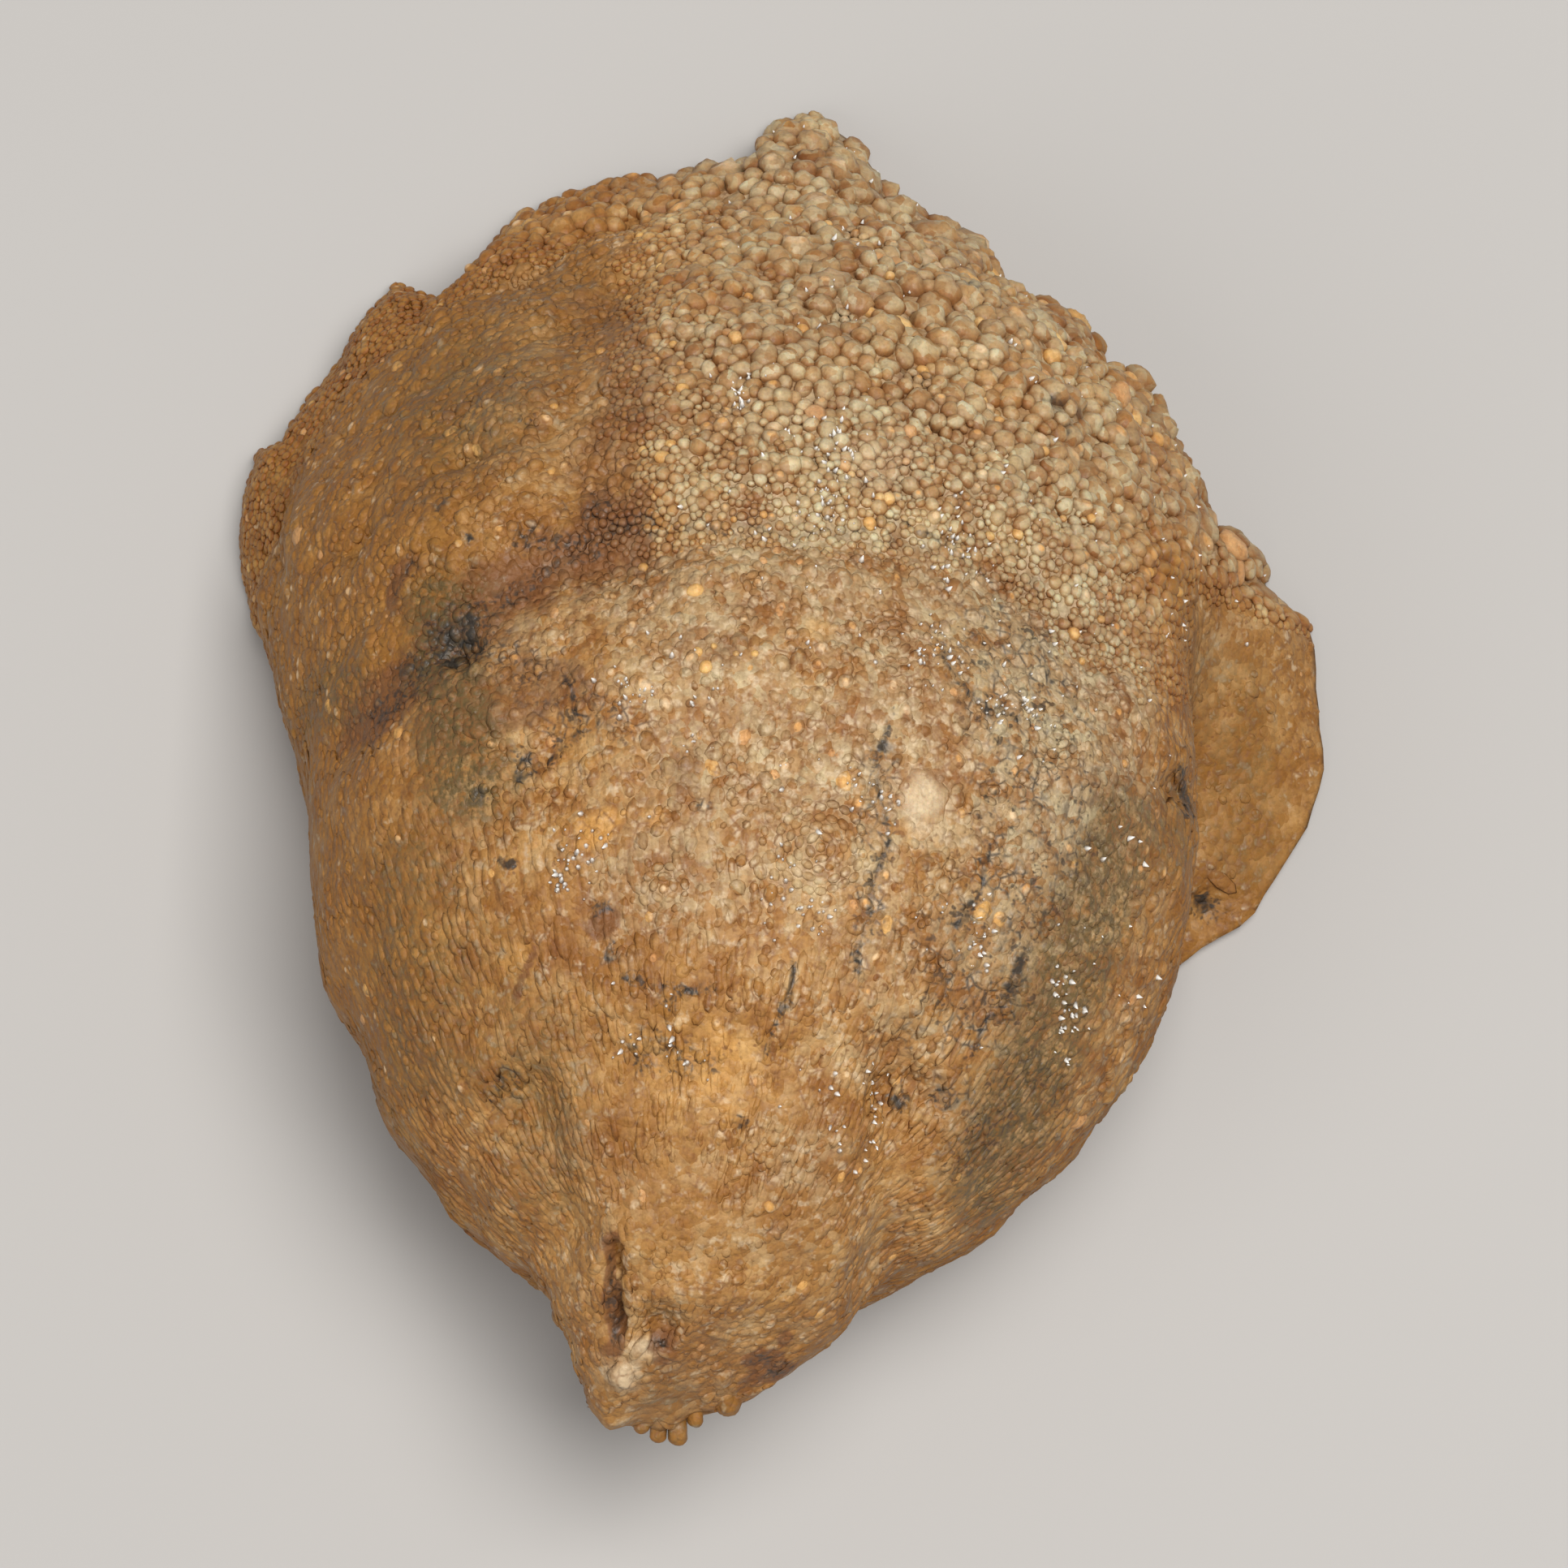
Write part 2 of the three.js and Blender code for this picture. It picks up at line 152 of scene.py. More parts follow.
# Noises that make edges and sizes stray, as (size, strength).
BEAD_EDGE, GRANULE_EDGE = ((3.6, 1.1), (1.1, 0.6)), ((2.6, 1.4), (0.9, 1.1))
RIB_COUNTS = ((0, 104), (3.0, 208))  # stage of growth from which there are so many ribs
RIBS = 208
RIBLESS_EDGE = 0.15  # the last stage before the rim, which has no ribs
GRAIN_STEP = 0.8
GRAIN_HEIGHT = 0.17
GRAIN_WIDTHS = (0.1, 0.34)  # half widths
GRAIN_GAP = 0.5
STRAYS, LARGEST_STRAY = 0.12, 0.3  # share of granules that stray among the ribs, and their largest radius
BREAK_GRANULES = 0.6  # share of granules on the snapped tip's break
GROUND_GAP = 0.6  # what lies lower than this is the worn edge of the rim

# Ringed rosettes as (x, y, radius).
ROSETTES = [
    (2.7, 14.7, 0.6), (2.2, 9.5, 0.6), (5.0, 6.7, 0.65), (-1.1, -2.9, 0.7), (-1.6, -4.4, 0.65),
    (1.2, -13.1, 1.75), (4.0, -5.1, 1.25), (10.0, -8.2, 1.25), (5.3, -17.2, 0.65), (-10.9, -8.8, 0.6),
    (-9.2, -5.9, 0.6), (-2.3, 4.6, 0.65), (-4.5, -14.6, 0.85), (7.6, -10.6, 0.7),
]
ROSETTE_CORE = 0.22  # radius of the bead in the middle
# The distance between the rings, and each grain's share of its ring, half length as a share of that, half
# width and height.
RING_STEP, RING_GRAIN, RING_OVERLAP = 0.4, 0.46, 0.6
RING_WIDTH, RING_HEIGHT = 0.19, 0.15
# Bright amber beads as (x, y, radius).
AMBER_BEADS = [
    (3.1, -0.1, 0.3), (3.8, 0.9, 0.28), (-3.0, -6.3, 0.3), (-3.4, -3.2, 0.34), (-2.0, 8.1, 0.34),
    (13.7, 7.5, 0.5), (14.7, 6.9, 0.42), (-0.9, 0.1, 0.2), (-2.0, -0.1, 0.16), (2.4, 1.9, 0.17),
    (13.9, -0.3, 0.26), (11.6, 1.3, 0.22), (12.7, 3.5, 0.2), (11.4, 3.0, 0.18), (7.5, 10.1, 0.28),
    (5.2, 7.2, 0.3), (-5.4, -1.8, 0.24), (12.6, -8.8, 0.2), (-3.3, -5.7, 0.22), (0.6, 8.8, 0.26),
    (8.1, 5.1, 0.3), (7.5, 6.0, 0.26), (-2.7, -5.5, 0.15), (-1.9, -5.8, 0.15), (-1.2, -5.8, 0.15),
    (-9.2, -6.0, 0.25), (-7.2, 8.3, 0.24), (-6.2, 11.5, 0.22), (-5.0, 13.0, 0.2), (1.6, 15.2, 0.26),
    (4.0, 12.1, 0.24), (-1.5, 10.6, 0.22), (9.8, 3.9, 0.24), (3.2, 10.0, 0.26), (-8.9, 5.5, 0.18),
]
# Smooth cream nodules as (x, y, half width, half length, height).
NODULES = [
    (5.0, -11.0, 1.0, 1.2, 0.17), (-2.6, 14.0, 0.5, 0.7, 0.4),
]
NODULE_CLEAR = 0.42  # share of a nodule's radius that granules leave clear
NODULE_TURN = 0.25  # how far nodules are turned about the way out, in radians
# Round fingers on the lower lip of the snapped tip as (tip, radius), and knobs along its upper lip as
# (middle, half length along the horn, radius).
FINGER_TIPS = [
    ((-6.5, -32.2, 13.7), 0.42), ((-5.5, -33.1, 12.9), 0.32), ((-4.9, -33.45, 12.5), 0.34),
    ((-4.15, -33.5, 12.4), 0.37), ((-3.4, -32.9, 12.8), 0.34), ((-2.1, -32.5, 13.3), 0.52),
]
FINGER_SHAFT = 3.0  # length of a finger behind its round end, as a share of its radius
FINGER_TINTS = (0.6, 0.45, 0.5, 0.55, 0.4, 0.35)
LIP_KNOBS = [
    ((-6.1, -31.3, 16.9), 0.62, 0.5), ((-5.4, -30.5, 18.0), 0.75, 0.24), ((-4.2, -30.8, 17.4), 0.75, 0.3),
    ((-2.4, -30.1, 17.8), 0.9, 0.3), ((-6.9, -31.6, 15.4), 0.5, 0.4),
]
LONG_KNOBS, LIP_WAY = 2, (-0.55, -0.6, -0.55)  # how many knobs lie along the horn, and which way that is
# Middles of the clusters of quartz points that glint.
GLINTS = [
    (-3.6, -8.1), (0.9, 0.2), (-1.0, 5.4), (6.3, -1.2), (8.4, -7.6), (9.9, -18.1), (-4.4, -20.3),
    (3.1, -11.4), (-5.1, -7.1), (5.1, -5.6), (6.5, -16.2), (0.6, -15.1), (7.5, 0.2), (-7.6, -13.4),
    (2.2, -22.4), (1.5, 3.4),
]
GLINT_REACH, QUARTZ_TRIES, QUARTZ_SIZES = 1.2, 13.0, (0.05, 0.09)
# Stains as (line, half width, strength). A line of one point is a round patch.
SOOT = [
    ([(3.9, -7.7), (3.1, -9.6), (3.6, -11.7), (3.7, -12.9), (3.1, -14.7), (2.5, -17.4)], 0.2, 0.72),
    ([(0.4, -17.5), (-0.3, -19.2), (-0.9, -20.6)], 0.2, 0.75),
    ([(9.0, -15.9), (7.7, -18.1), (7.2, -19.9)], 0.3, 0.8),
    ([(5.7, -5.3), (6.5, -6.9), (8.4, -7.6)], 0.25, 0.78),
    ([(7.5, -12.6), (6.8, -14.5), (6.2, -15.7)], 0.25, 0.76),
    ([(-9.8, -10.3), (-8.7, -9.6), (-7.4, -8.5)], 0.25, 0.78),
    ([(-8.1, -6.6), (-7.9, -7.6), (-7.5, -8.1)], 0.3, 0.88),
    ([(-6.3, -0.1), (-3.6, -0.5), (0.9, -0.7), (4.6, 0.1)], 0.25, 0.55),
    ([(4.6, 0.1), (7.3, -1.4), (8.8, -4.6), (11.3, -7.2)], 0.22, 0.56),
    ([(-15.7, -6.7), (-14.9, -6.3), (-12.4, -4.4)], 0.6, 0.58),
    ([(-13.1, -3.3), (-11.2, -3.0)], 0.35, 0.5), ([(-12.4, -4.4), (-9.4, -1.9), (-6.3, -0.1)], 0.6, 0.52),
    ([(-13.8, -1.1), (-14.4, -2.3)], 0.3, 0.5),
    ([(-12.4, -4.4)], 1.7, 0.8), ([(-8.4, -8.8)], 0.5, 0.8), ([(10.6, 6.3)], 0.9, 0.72),
    ([(10.8, 5.1)], 0.5, 0.55), ([(7.2, 11.9)], 0.45, 0.7), ([(4.1, -21.6)], 0.6, 0.82),
    ([(5.7, -21.6)], 0.6, 0.76), ([(-5.4, -20.3), (-3.0, -20.7)], 0.9, 0.5),
    ([(-5.8, -17.8), (-2.8, -18.1)], 0.3, 0.74), ([(-4.2, -18.6)], 1.0, 0.42),
    ([(15.2, -8.2), (15.1, -10.0)], 0.35, 0.85), ([(16.7, -10.7)], 0.9, 0.98),
    ([(-6.4, -27.4), (-6.4, -29.9)], 0.3, 0.62), ([(-4.7, -30.1)], 0.4, 0.74),
    ([(-1.2, -31.0), (0.1, -30.6)], 0.22, 0.6),
    ([(-6.9, -15.3)], 0.4, 0.8), ([(-6.5, -16.4), (-6.6, -16.9)], 0.2, 0.72),
    ([(-10.9, -13.2), (-10.2, -13.5)], 0.3, 0.84),
    ([(-8.2, -13.0)], 0.25, 0.7),
    ([(-7.0, 0.3)], 1.2, 0.5), ([(-12.1, -0.3)], 0.5, 0.72), ([(-11.2, -0.3)], 0.4, 0.62),
    ([(-14.1, -5.2)], 1.2, 0.58), ([(-9.7, -9.3)], 0.6, 0.62), ([(-11.2, -10.6)], 0.8, 0.52),
    ([(-9.9, -0.6), (-7.0, -0.5), (-5.0, 0.2)], 0.8, 0.46), ([(-12.8, 1.8), (-13.3, 0.6)], 0.4, 0.55),
    ([(-5.7, 4.6)], 0.8, 0.44), ([(-9.9, 5.0)], 0.6, 0.46), ([(-1.5, -22.8)], 0.5, 0.5),
    ([(-10.5, -21.0)], 1.0, 0.45), ([(-3.0, -11.5)], 0.5, 0.45),
    ([(8.0, -5.0), (9.5, -12.0), (6.5, -18.5)], 3.4, 0.42),
    ([(3.5, -9.0), (3.0, -16.0)], 0.9, 0.38), ([(-11.5, -4.0), (-6.5, -8.5)], 1.8, 0.36),
    ([(9.5, -20.5), (6.5, -23.0)], 2.0, 0.36), ([(-8.0, 1.0), (-2.0, -0.5), (6.0, -0.5)], 0.8, 0.3),
]
RUST = [
    ([(-7.4, 11.0), (-6.5, 8.3), (-5.3, 5.1), (-7.1, 3.0), (-6.3, -0.1)], 2.1, 0.5),
    ([(-6.3, -0.1), (-11.2, -3.0), (-15.7, -6.7)], 2.3, 0.72), ([(-12.5, -7.5), (-8.0, -6.5)], 2.2, 0.58),
    ([(-4.5, 6.5), (-2.5, 9.0)], 2.0, 0.3), ([(-11.0, 4.0)], 2.5, 0.38), ([(-7.0, 0.3)], 1.3, 0.85),
    ([(-14.2, -1.3), (-14.8, -2.3)], 0.5, 0.85), ([(-16.0, -6.9)], 1.0, 0.65), ([(-14.0, 2.0)], 3.0, 0.4),
    ([(-0.1, 16.6)], 1.0, 0.4), ([(7.0, 14.1)], 1.7, 0.42), ([(2.1, 10.1)], 1.0, 0.35),
    ([(-3.9, -10.0)], 1.4, 0.45), ([(-14.2, -9.4)], 2.2, 0.3), ([(-13.8, -1.1)], 0.8, 0.55),
    ([(5.4, -4.3)], 0.8, 0.5), ([(-2.1, -5.6)], 0.9, 0.45),
    ([(-6.7, -15.9)], 0.7, 0.95), ([(-9.4, -16.6), (-9.8, -18.3)], 0.25, 0.9),
    ([(-4.7, -30.1)], 0.9, 0.8), ([(-6.4, -27.0), (-6.4, -30.2)], 0.5, 0.85),
    ([(-1.2, -31.0), (0.1, -30.6)], 0.5, 0.95), ([(0.0, -29.9)], 0.4, 0.9), ([(-1.6, -31.6)], 0.4, 0.6),
    ([(3.9, -25.3), (2.0, -28.0)], 1.4, 0.3), ([(-8.0, -13.0), (-2.0, -13.0)], 3.0, 0.28),
]
OCHRE = [
    ([(-7.1, -12.4)], 1.0, 0.9), ([(-5.0, -12.1)], 0.8, 0.6), ([(1.3, -4.9)], 1.0, 0.4),
    ([(-2.7, -1.9)], 1.3, 0.3), ([(2.9, 14.6)], 1.0, 0.4), ([(0.6, 8.8)], 0.9, 0.4),
    ([(-2.1, -21.2)], 3.6, 0.45), ([(-8.5, -2.3)], 0.8, 0.4), ([(-12.3, -12.7), (-12.9, -16.5)], 2.2, 0.3),
    ([(-9.8, -16.8)], 2.0, 0.3), ([(-1.2, -25.6)], 2.5, 0.25),
]
PALE = [
    ([(5.0, -11.0)], 1.2, 1.0), ([(3.5, 2.5)], 1.6, 0.4),
    ([(-6.0, -31.3)], 0.8, 0.9), ([(-5.4, -30.3)], 0.6, 0.9), ([(0.5, 4.5)], 1.2, 0.3),
]
GRIME = [
    ([(12.5, -11.0), (10.5, -17.0), (7.5, -24.0)], 3.2, 0.56), ([(-14.0, -13.0), (-13.5, -20.0)], 3.0, 0.42),
    ([(-17.5, -5.0)], 3.0, 0.5), ([(-9.3, -19.5), (-9.0, -24.0)], 2.4, 0.42), ([(-4.5, -32.0)], 1.5, 0.3),
    ([(17.5, -2.0), (18.0, -8.0)], 3.0, 0.35), ([(-12.0, 6.0)], 6.0, 0.45),
    ([(-13.0, -3.0), (-12.3, -10.0)], 2.7, 0.6),
]

STAIN_WANDER = 0.35  # how far the lines of the stains stray
STAIN_EDGE, BROAD_TONES = ((0.9, 1), (0.35, 0.6)), ((5.0, 1), (2.1, 0.5))  # noises, as (size, strength)
UPPER = (-0.1, 0.25)  # how far up the skin faces where stains set in, and where they are full
# The flanks turn brown between these distances to the left and to the right.
LEFT_FLANK, RIGHT_FLANK = (10.5, 15.5), (12.5, 15.5)
FLANK_GRIME = 0.3
# Shares of grey: on the back, in its middle, what the tip loses, what the left loses behind the growth
# line, and what the beads there gain.
GREY_BACK, GREY_MIDDLE, GREY_TIP, GREY_LEFT, GREY_BEADS = 0.36, 0.2, 0.14, 0.15, 0.3
# The grey middle as (x, y) and its reach to the side and along. The tip is duller between these y.
MIDDLE, MIDDLE_REACH, MIDDLE_EDGE, TIP_Y = (4, -8), (9, 11.5), (0.7, 1.35), (10, 18)

# Linear colours of the stone.
OAK = (0.325, 0.145, 0.026)
TAN = (0.335, 0.168, 0.056)
GOLD = (0.445, 0.238, 0.076)
GREY = (0.47, 0.375, 0.225)
CREAM = (0.70, 0.55, 0.36)
AMBER = (0.80, 0.45, 0.14)
PEACH = (0.58, 0.30, 0.14)
RUSTY = (0.17, 0.062, 0.022)
YELLOW = (0.70, 0.36, 0.09)
BLACK = (0.032, 0.028, 0.025)
DIRT = (0.13, 0.085, 0.03)
# Brown of the veins and pits, also used as painted shade in the crevices between beads.
VEIN_AND_SHADE_BROWN = (0.24, 0.105, 0.036)

random = np.random.default_rng(7)


# ---- Numbers that repeat the same way every time --------------------------------------------------

GRID_WAVES, GRID_SCATTER = (127.1, 311.7, 74.7), 43758.5453  # any large numbers that share no factor


def smooth(value, low, high):
    """0 below low and 1 above high, with a smooth slope between."""
    share = np.clip((value - low) / (high - low), 0, 1)
    return share * share * (3 - 2 * share)


def grain(i, j, k):
    """A number from 0 to 1 that belongs to one corner of a grid."""
    wave = np.sin(i * GRID_WAVES[0] + j * GRID_WAVES[1] + k * GRID_WAVES[2]) * GRID_SCATTER
    return wave - np.floor(wave)


def noise(points, size):
    """Smooth noise from -1 to 1 with features of about the given size."""
    corner = np.floor(points / size)
    part = points / size - corner
    ease = part * part * (3 - 2 * part)
    i, j, k = np.moveaxis(corner, -1, 0)
    u, v, w = np.moveaxis(ease, -1, 0)

    def row(b, c):
        start, end = grain(i, j + b, k + c), grain(i + 1, j + b, k + c)
        return start + (end - start) * u

    def sheet(c):
        start, end = row(0, c), row(1, c)
        return start + (end - start) * v

    low, high = sheet(0), sheet(1)
    return 2 * (low + (high - low) * w) - 1


def layered(points, layers):
    """The sum of several noises, given as (size, strength)."""
    return sum(strength * noise(points, size) for size, strength in layers)


def knobs(points, size):
    """Height from 0 to 1 of a field of round knobs that crowd together, about the given size apart."""
    place = points / size
    i, j, k = np.moveaxis(np.floor(place), -1, 0)
    nearest = np.ones(place.shape[:-1])
    for right, back, up in np.ndindex(3, 3, 3):
        a, b, c = i + right - 1, j + back - 1, k + up - 1
        dx = a + grain(a, b, c) - place[..., 0]
        dy = b + grain(b, c, a) - place[..., 1]
        dz = c + grain(c, a, b) - place[..., 2]
        nearest = np.minimum(nearest, dx * dx + dy * dy + dz * dz)
    return np.sqrt(1 - nearest)


def plan_distance(line, points):
    """Distance in plan from each point to a line of (x, y) points, or to a single one."""
    flat = points[..., :2]
    ends = np.array(line, float)
    if len(ends) == 1:
        return np.linalg.norm(flat - ends[0], axis=-1)
    nearest = np.full(flat.shape[:-1], np.inf)
    for start, end in zip(ends[:-1], ends[1:]):
        run = end - start
        share = np.clip((flat - start) @ run / (run @ run), 0, 1)
        nearest = np.minimum(nearest, np.linalg.norm(flat - start - share[..., None] * run, axis=-1))
    return nearest


def unit(vectors):
    """The vectors at length 1."""
    return vectors / (np.linalg.norm(vectors, axis=-1, keepdims=True) + 1e-12)


# ---- The horn's wall, rim and calice, in millimetres ----------------------------------------------

def rim_radius(degrees):
    """The radius of the broken rim, which strays a little from its table."""
    turns = np.concatenate([[RIM[-1, 0] - 360], RIM[:, 0], [RIM[0, 0] + 360]])
    radii = np.concatenate([[RIM[-1, 1]], RIM[:, 1], [RIM[0, 1]]])
    turn = np.radians(degrees)
    circle = np.stack([np.cos(turn), np.sin(turn), 0 * turn], -1) * RIM_MEAN
    return np.interp(np.mod(degrees, 360), turns, radii) + CHIP_DEPTH * layered(circle, RIM_CHIPS)


def calm_radius(degrees):
    """The rim's radius with its teeth and notches averaged out."""
    return np.mean([rim_radius(degrees + offset) for offset in CALM_OFFSETS], axis=0)


def worn_back(degrees):
    """How far the rim is worn back from the ground between its feet."""
    gaps = np.min([np.abs((degrees - foot + 540) % 360 - 180) for foot in FEET], axis=0)
    return WORN_BACK * smooth(gaps, FOOT_HALF_WIDTH, 2 * FOOT_HALF_WIDTH)


def polar(radius, angle, height):
    """Points at a radius and a height round the middle of the calice."""
    return np.stack([radius * np.cos(angle), radius * np.sin(angle), height + 0 * angle], -1)


def section_ring(number, angles):
    """One cross-section of the horn. Its angles start at the right and pass over the crest."""
    crest_y, crest_z, belly_y, belly_z, left, right = SECTIONS[number]
    across = (1 + np.cos(angles)) / 2
    over = (1 + np.sin(angles)) / 2
    return np.stack([
        left + (right - left) * across,
        belly_y + (crest_y - belly_y) * over,
        belly_z + (crest_z - belly_z) * over,
    ], -1)


def smooth_wall(angles, stages):
    """The wall before lumps: a row for each stage of growth and a column for each angle."""
    degrees = np.degrees(angles)
    rings = [section_ring(number, angles) for number in range(LAST)]
    rings.append(polar(calm_radius(degrees), angles, RIM_HEIGHT))
    rings = np.stack([2 * rings[0] - rings[1], *rings, 2 * rings[-1] - rings[-2]])
    start = np.clip(np.floor(stages).astype(int), 0, LAST - 1)
    t = (stages - start)[:, None, None]
    before, here, there, after = rings[start], rings[start + 1], rings[start + 2], rings[start + 3]
    bend = 2 * before - 5 * here + 4 * there - after
    twist = 3 * here - before - 3 * there + after
    line = 0.5 * (2 * here + (there - before) * t + bend * t ** 2 + twist * t ** 3)
    near_rim = smooth(stages, LAST - TOOTH_REACH, LAST)[:, None]
    teeth = (rim_radius(degrees) - calm_radius(degrees)) * near_rim
    worn = lip_notch(angles, stages[:, None])
    return line + np.stack([teeth * np.cos(angles), teeth * np.sin(angles) + worn, 0 * teeth], -1)


def lip_notch(angles, stages):
    """How far the lower lip of the tip is worn back towards the mouth."""
    return LIP_NOTCH * smooth(-np.sin(angles), *LIP_SPREAD) * (1 - smooth(stages, 0, LIP_NOTCH_REACH))


def grid_normals(points):
    """Outward normals of a wall grid that closes on itself from its last column to its first."""
    onward = np.gradient(points, axis=0)
    aside = np.roll(points, -1, 1) - np.roll(points, 1, 1)
    return unit(np.cross(onward, aside))


def late_growth(points):
    """1 behind the growth line, where the last stage of growth is coarse."""
    return smooth(points[..., 1], *LATE_START)


def relief(points, stages, facing):
    """How far the surface stands out from the smooth wall."""
    opening = smooth(facing, 0, 0.35)
    fade = smooth(LAST - stages, 0, 0.5) * smooth(stages, 0, 1)
    late = late_growth(points)
    broad = noise(points, BROAD_LUMPS)
    lumps = BROAD_HEIGHT * broad + SMALL_HEIGHT * noise(points, SMALL_LUMPS)
    botryoids = KNOB_HEIGHT * late * (knobs(points, KNOB_SIZE) - 0.5)
    coarse = late * smooth(points[..., 0], *COARSE_START) * (1 - ear_share(points))
    botryoids = botryoids + BERRY_HEIGHT * coarse * (knobs(points, BERRY_SIZE) - 0.6)
    wrinkles = WRINKLE_HEIGHT * (1 - late) * np.sin(2 * np.pi * WRINKLES * stages + 2 * broad)
    cut = sum(depth * (1 - smooth(plan_distance(line, points), 0, width)) for line, width, depth in TROUGHS)
    pits = [PIT_DEPTH * (1 - smooth(plan_distance([pit], points), 0, PIT_RADIUS)) for pit in PITS]
    return fade * (lumps + botryoids + wrinkles) - opening * (cut + np.max(pits, axis=0))


def snapped(points):
    """The points with what stands out beyond the tip's oblique break flattened."""
    beyond = np.maximum((points - BREAK_POINT) @ BREAK_OUTWARD, 0)
    return points - BREAK_FLATNESS * beyond[..., None] * BREAK_OUTWARD


def on_break(points):
    """Whether the points lie on the oblique break."""
    return (points - BREAK_POINT) @ BREAK_OUTWARD > BREAK_SLACK


# ---- Zones of growth ------------------------------------------------------------------------------

# Where the relief is worn low: up to these stages of growth, and from these distances to each side.
WORN_NECK, WORN_LEFT, WORN_RIGHT = (2.2, 4.2), (12.5, 17), (14.5, 17)


def line_height(line, x):
    """The y of a line from left to right at each x."""
    return np.interp(x, [point[0] for point in line], [point[1] for point in line])


def ear_share(points):
    """1 on the ear at the right, which is worn smooth."""
    return smooth(points[..., 0], *EAR_START) * (1 - smooth(points[..., 1], *EAR_END))


def bead_limit(points, stages):
    """Largest bead radius at each point: coarse behind the growth line, most of all on the right."""
    x, y = points[..., 0], points[..., 1]
    behind = y - line_height(GROWTH_LINE, x) + layered(points, BEAD_EDGE)
    coarse = smooth(x, *COARSE_X) * (0.8 + 0.45 * noise(points, 2.3))
    radius = SMALL_BEAD + 0.04 * coarse + 0.05 * noise(points, 1.3)
    radius = radius * smooth(x + 1.5 * noise(points, 2.0), *BEADED_X)
    radius = radius + coarse * sum(gain * smooth(behind, start, end) for gain, start, end in BEAD_GAINS)
    at_rim = smooth(stages, *COARSE_RIM_STAGES) * smooth(y, *COARSE_RIM_Y) * smooth(x, *COARSE_RIM_X)
    radius = np.maximum(radius * smooth(behind, *BEADED_BEHIND), RIM_BEAD * smooth(stages, *RIM_STAGES))
    return (radius + RIM_GAIN * at_rim) * (1 - ear_share(points))


def granule_zone(points, facing):
    """1 where low granules cover the skin: behind the line where the ribs end, on the upper side."""
    x, y = points[..., 0], points[..., 1]
    behind = y - line_height(RIB_LINE, x) + layered(points, GRANULE_EDGE)
    late = smooth(y - line_height(GROWTH_LINE, x), -1, 1)
    beside = (1 - smooth(np.abs(x + 1), 14, 16)) * (1 - late)
    share = smooth(behind, -1.5, 1.5) * smooth(facing, 0.1, 0.25) * (beside + late)
    return share * (1 - 0.9 * ear_share(points))


def calmness(points, stages):
    """1 where the relief is worn low: on the neck, on the left flank and on the ear at the right."""
    x = points[..., 0]
    sides = smooth(-x, *WORN_LEFT) + smooth(x, *WORN_RIGHT)
    return np.clip(1 - smooth(stages, *WORN_NECK) + sides, 0, 1)


# ---- A fine copy of the wall, to place beads and grains on ----------------------------------------

WALL_ANGLES = np.radians(np.arange(0, 360, 0.5))
WALL_STAGES = np.linspace(0, LAST, 601)
ROWS_PER_STAGE = (len(WALL_STAGES) - 1) / LAST
SMOOTHING = 0.6  # how much the normals lean towards those of the wall before its lumps


def lumpy_wall(angles, stages):
    """The wall with its lumps, and the outward directions before them."""
    base = smooth_wall(angles, stages)
    outward = grid_normals(base)
    height = relief(base, stages[:, None] + 0 * angles, outward[..., 2])
    return snapped(base + outward * height[..., None]), outward


wall_points, wall_outward = lumpy_wall(WALL_ANGLES, WALL_STAGES)
wall_normals = unit(grid_normals(wall_points) + SMOOTHING * wall_outward)
wall_onward = unit(np.gradient(wall_points, axis=0))


def cell_areas():
    """The area of each cell of the wall, in square millimetres."""
    down = np.diff(wall_points, axis=0)
    aside = np.roll(wall_points, -1, 1) - wall_points
    return np.linalg.norm(np.cross(down, aside[:-1]), axis=-1)


wall_areas = cell_areas()
wall_growth = WALL_STAGES[:, None] + 0 * WALL_ANGLES
wall_limit = bead_limit(wall_points, wall_growth)


def rib_number(turn):
    """Which rib lies at a share of a full turn from the right side. They are counted from the belly."""
    return (turn + 0.25) % 1 * RIBS


def flow_table():
    """The flow of growth for each point of the wall: its rib, millimetres from the tip, rib spacing."""
    steps = np.linalg.norm(np.diff(wall_points, axis=0), axis=-1)
    travelled = np.concatenate([np.zeros((1, len(WALL_ANGLES))), np.cumsum(steps, axis=0)])
    ribs = rib_number(np.arange(len(WALL_ANGLES)) / len(WALL_ANGLES)) + 0 * travelled
    aside = np.linalg.norm(np.roll(wall_points, -1, 1) - wall_points, axis=-1)
    return np.stack([ribs, travelled, aside * len(WALL_ANGLES) / RIBS], -1)


wall_flow = flow_table()


def on_wall(table, rows, columns):
    """Values of a wall table at rows and columns that need not be whole."""
    row = np.clip(np.floor(rows).astype(int), 0, len(WALL_STAGES) - 2)
    column = np.floor(columns).astype(int)
    v, u = (rows - row)[:, None], (columns - column)[:, None]
    column, following = column % len(WALL_ANGLES), (column + 1) % len(WALL_ANGLES)
    near = table[row, column] * (1 - u) + table[row, following] * u
    far = table[row + 1, column] * (1 - u) + table[row + 1, following] * u
    return near * (1 - v) + far * v


class Sites:
    """Places on the wall: points, normals, the way the horn grows there, stages of growth, and flow."""

    def __init__(self, points, normals, onward, stages, flow):
        self.points, self.normals, self.stages, self.flow = points, unit(normals), stages, flow
        self.onward = unit(onward - self.normals * np.sum(onward * self.normals, -1, keepdims=True))

    def __len__(self):
        return len(self.points)

    def parts(self):
        return self.points, self.normals, self.onward, self.stages, self.flow

    def keep(self, chosen):
        return Sites(*(part[chosen] for part in self.parts()))


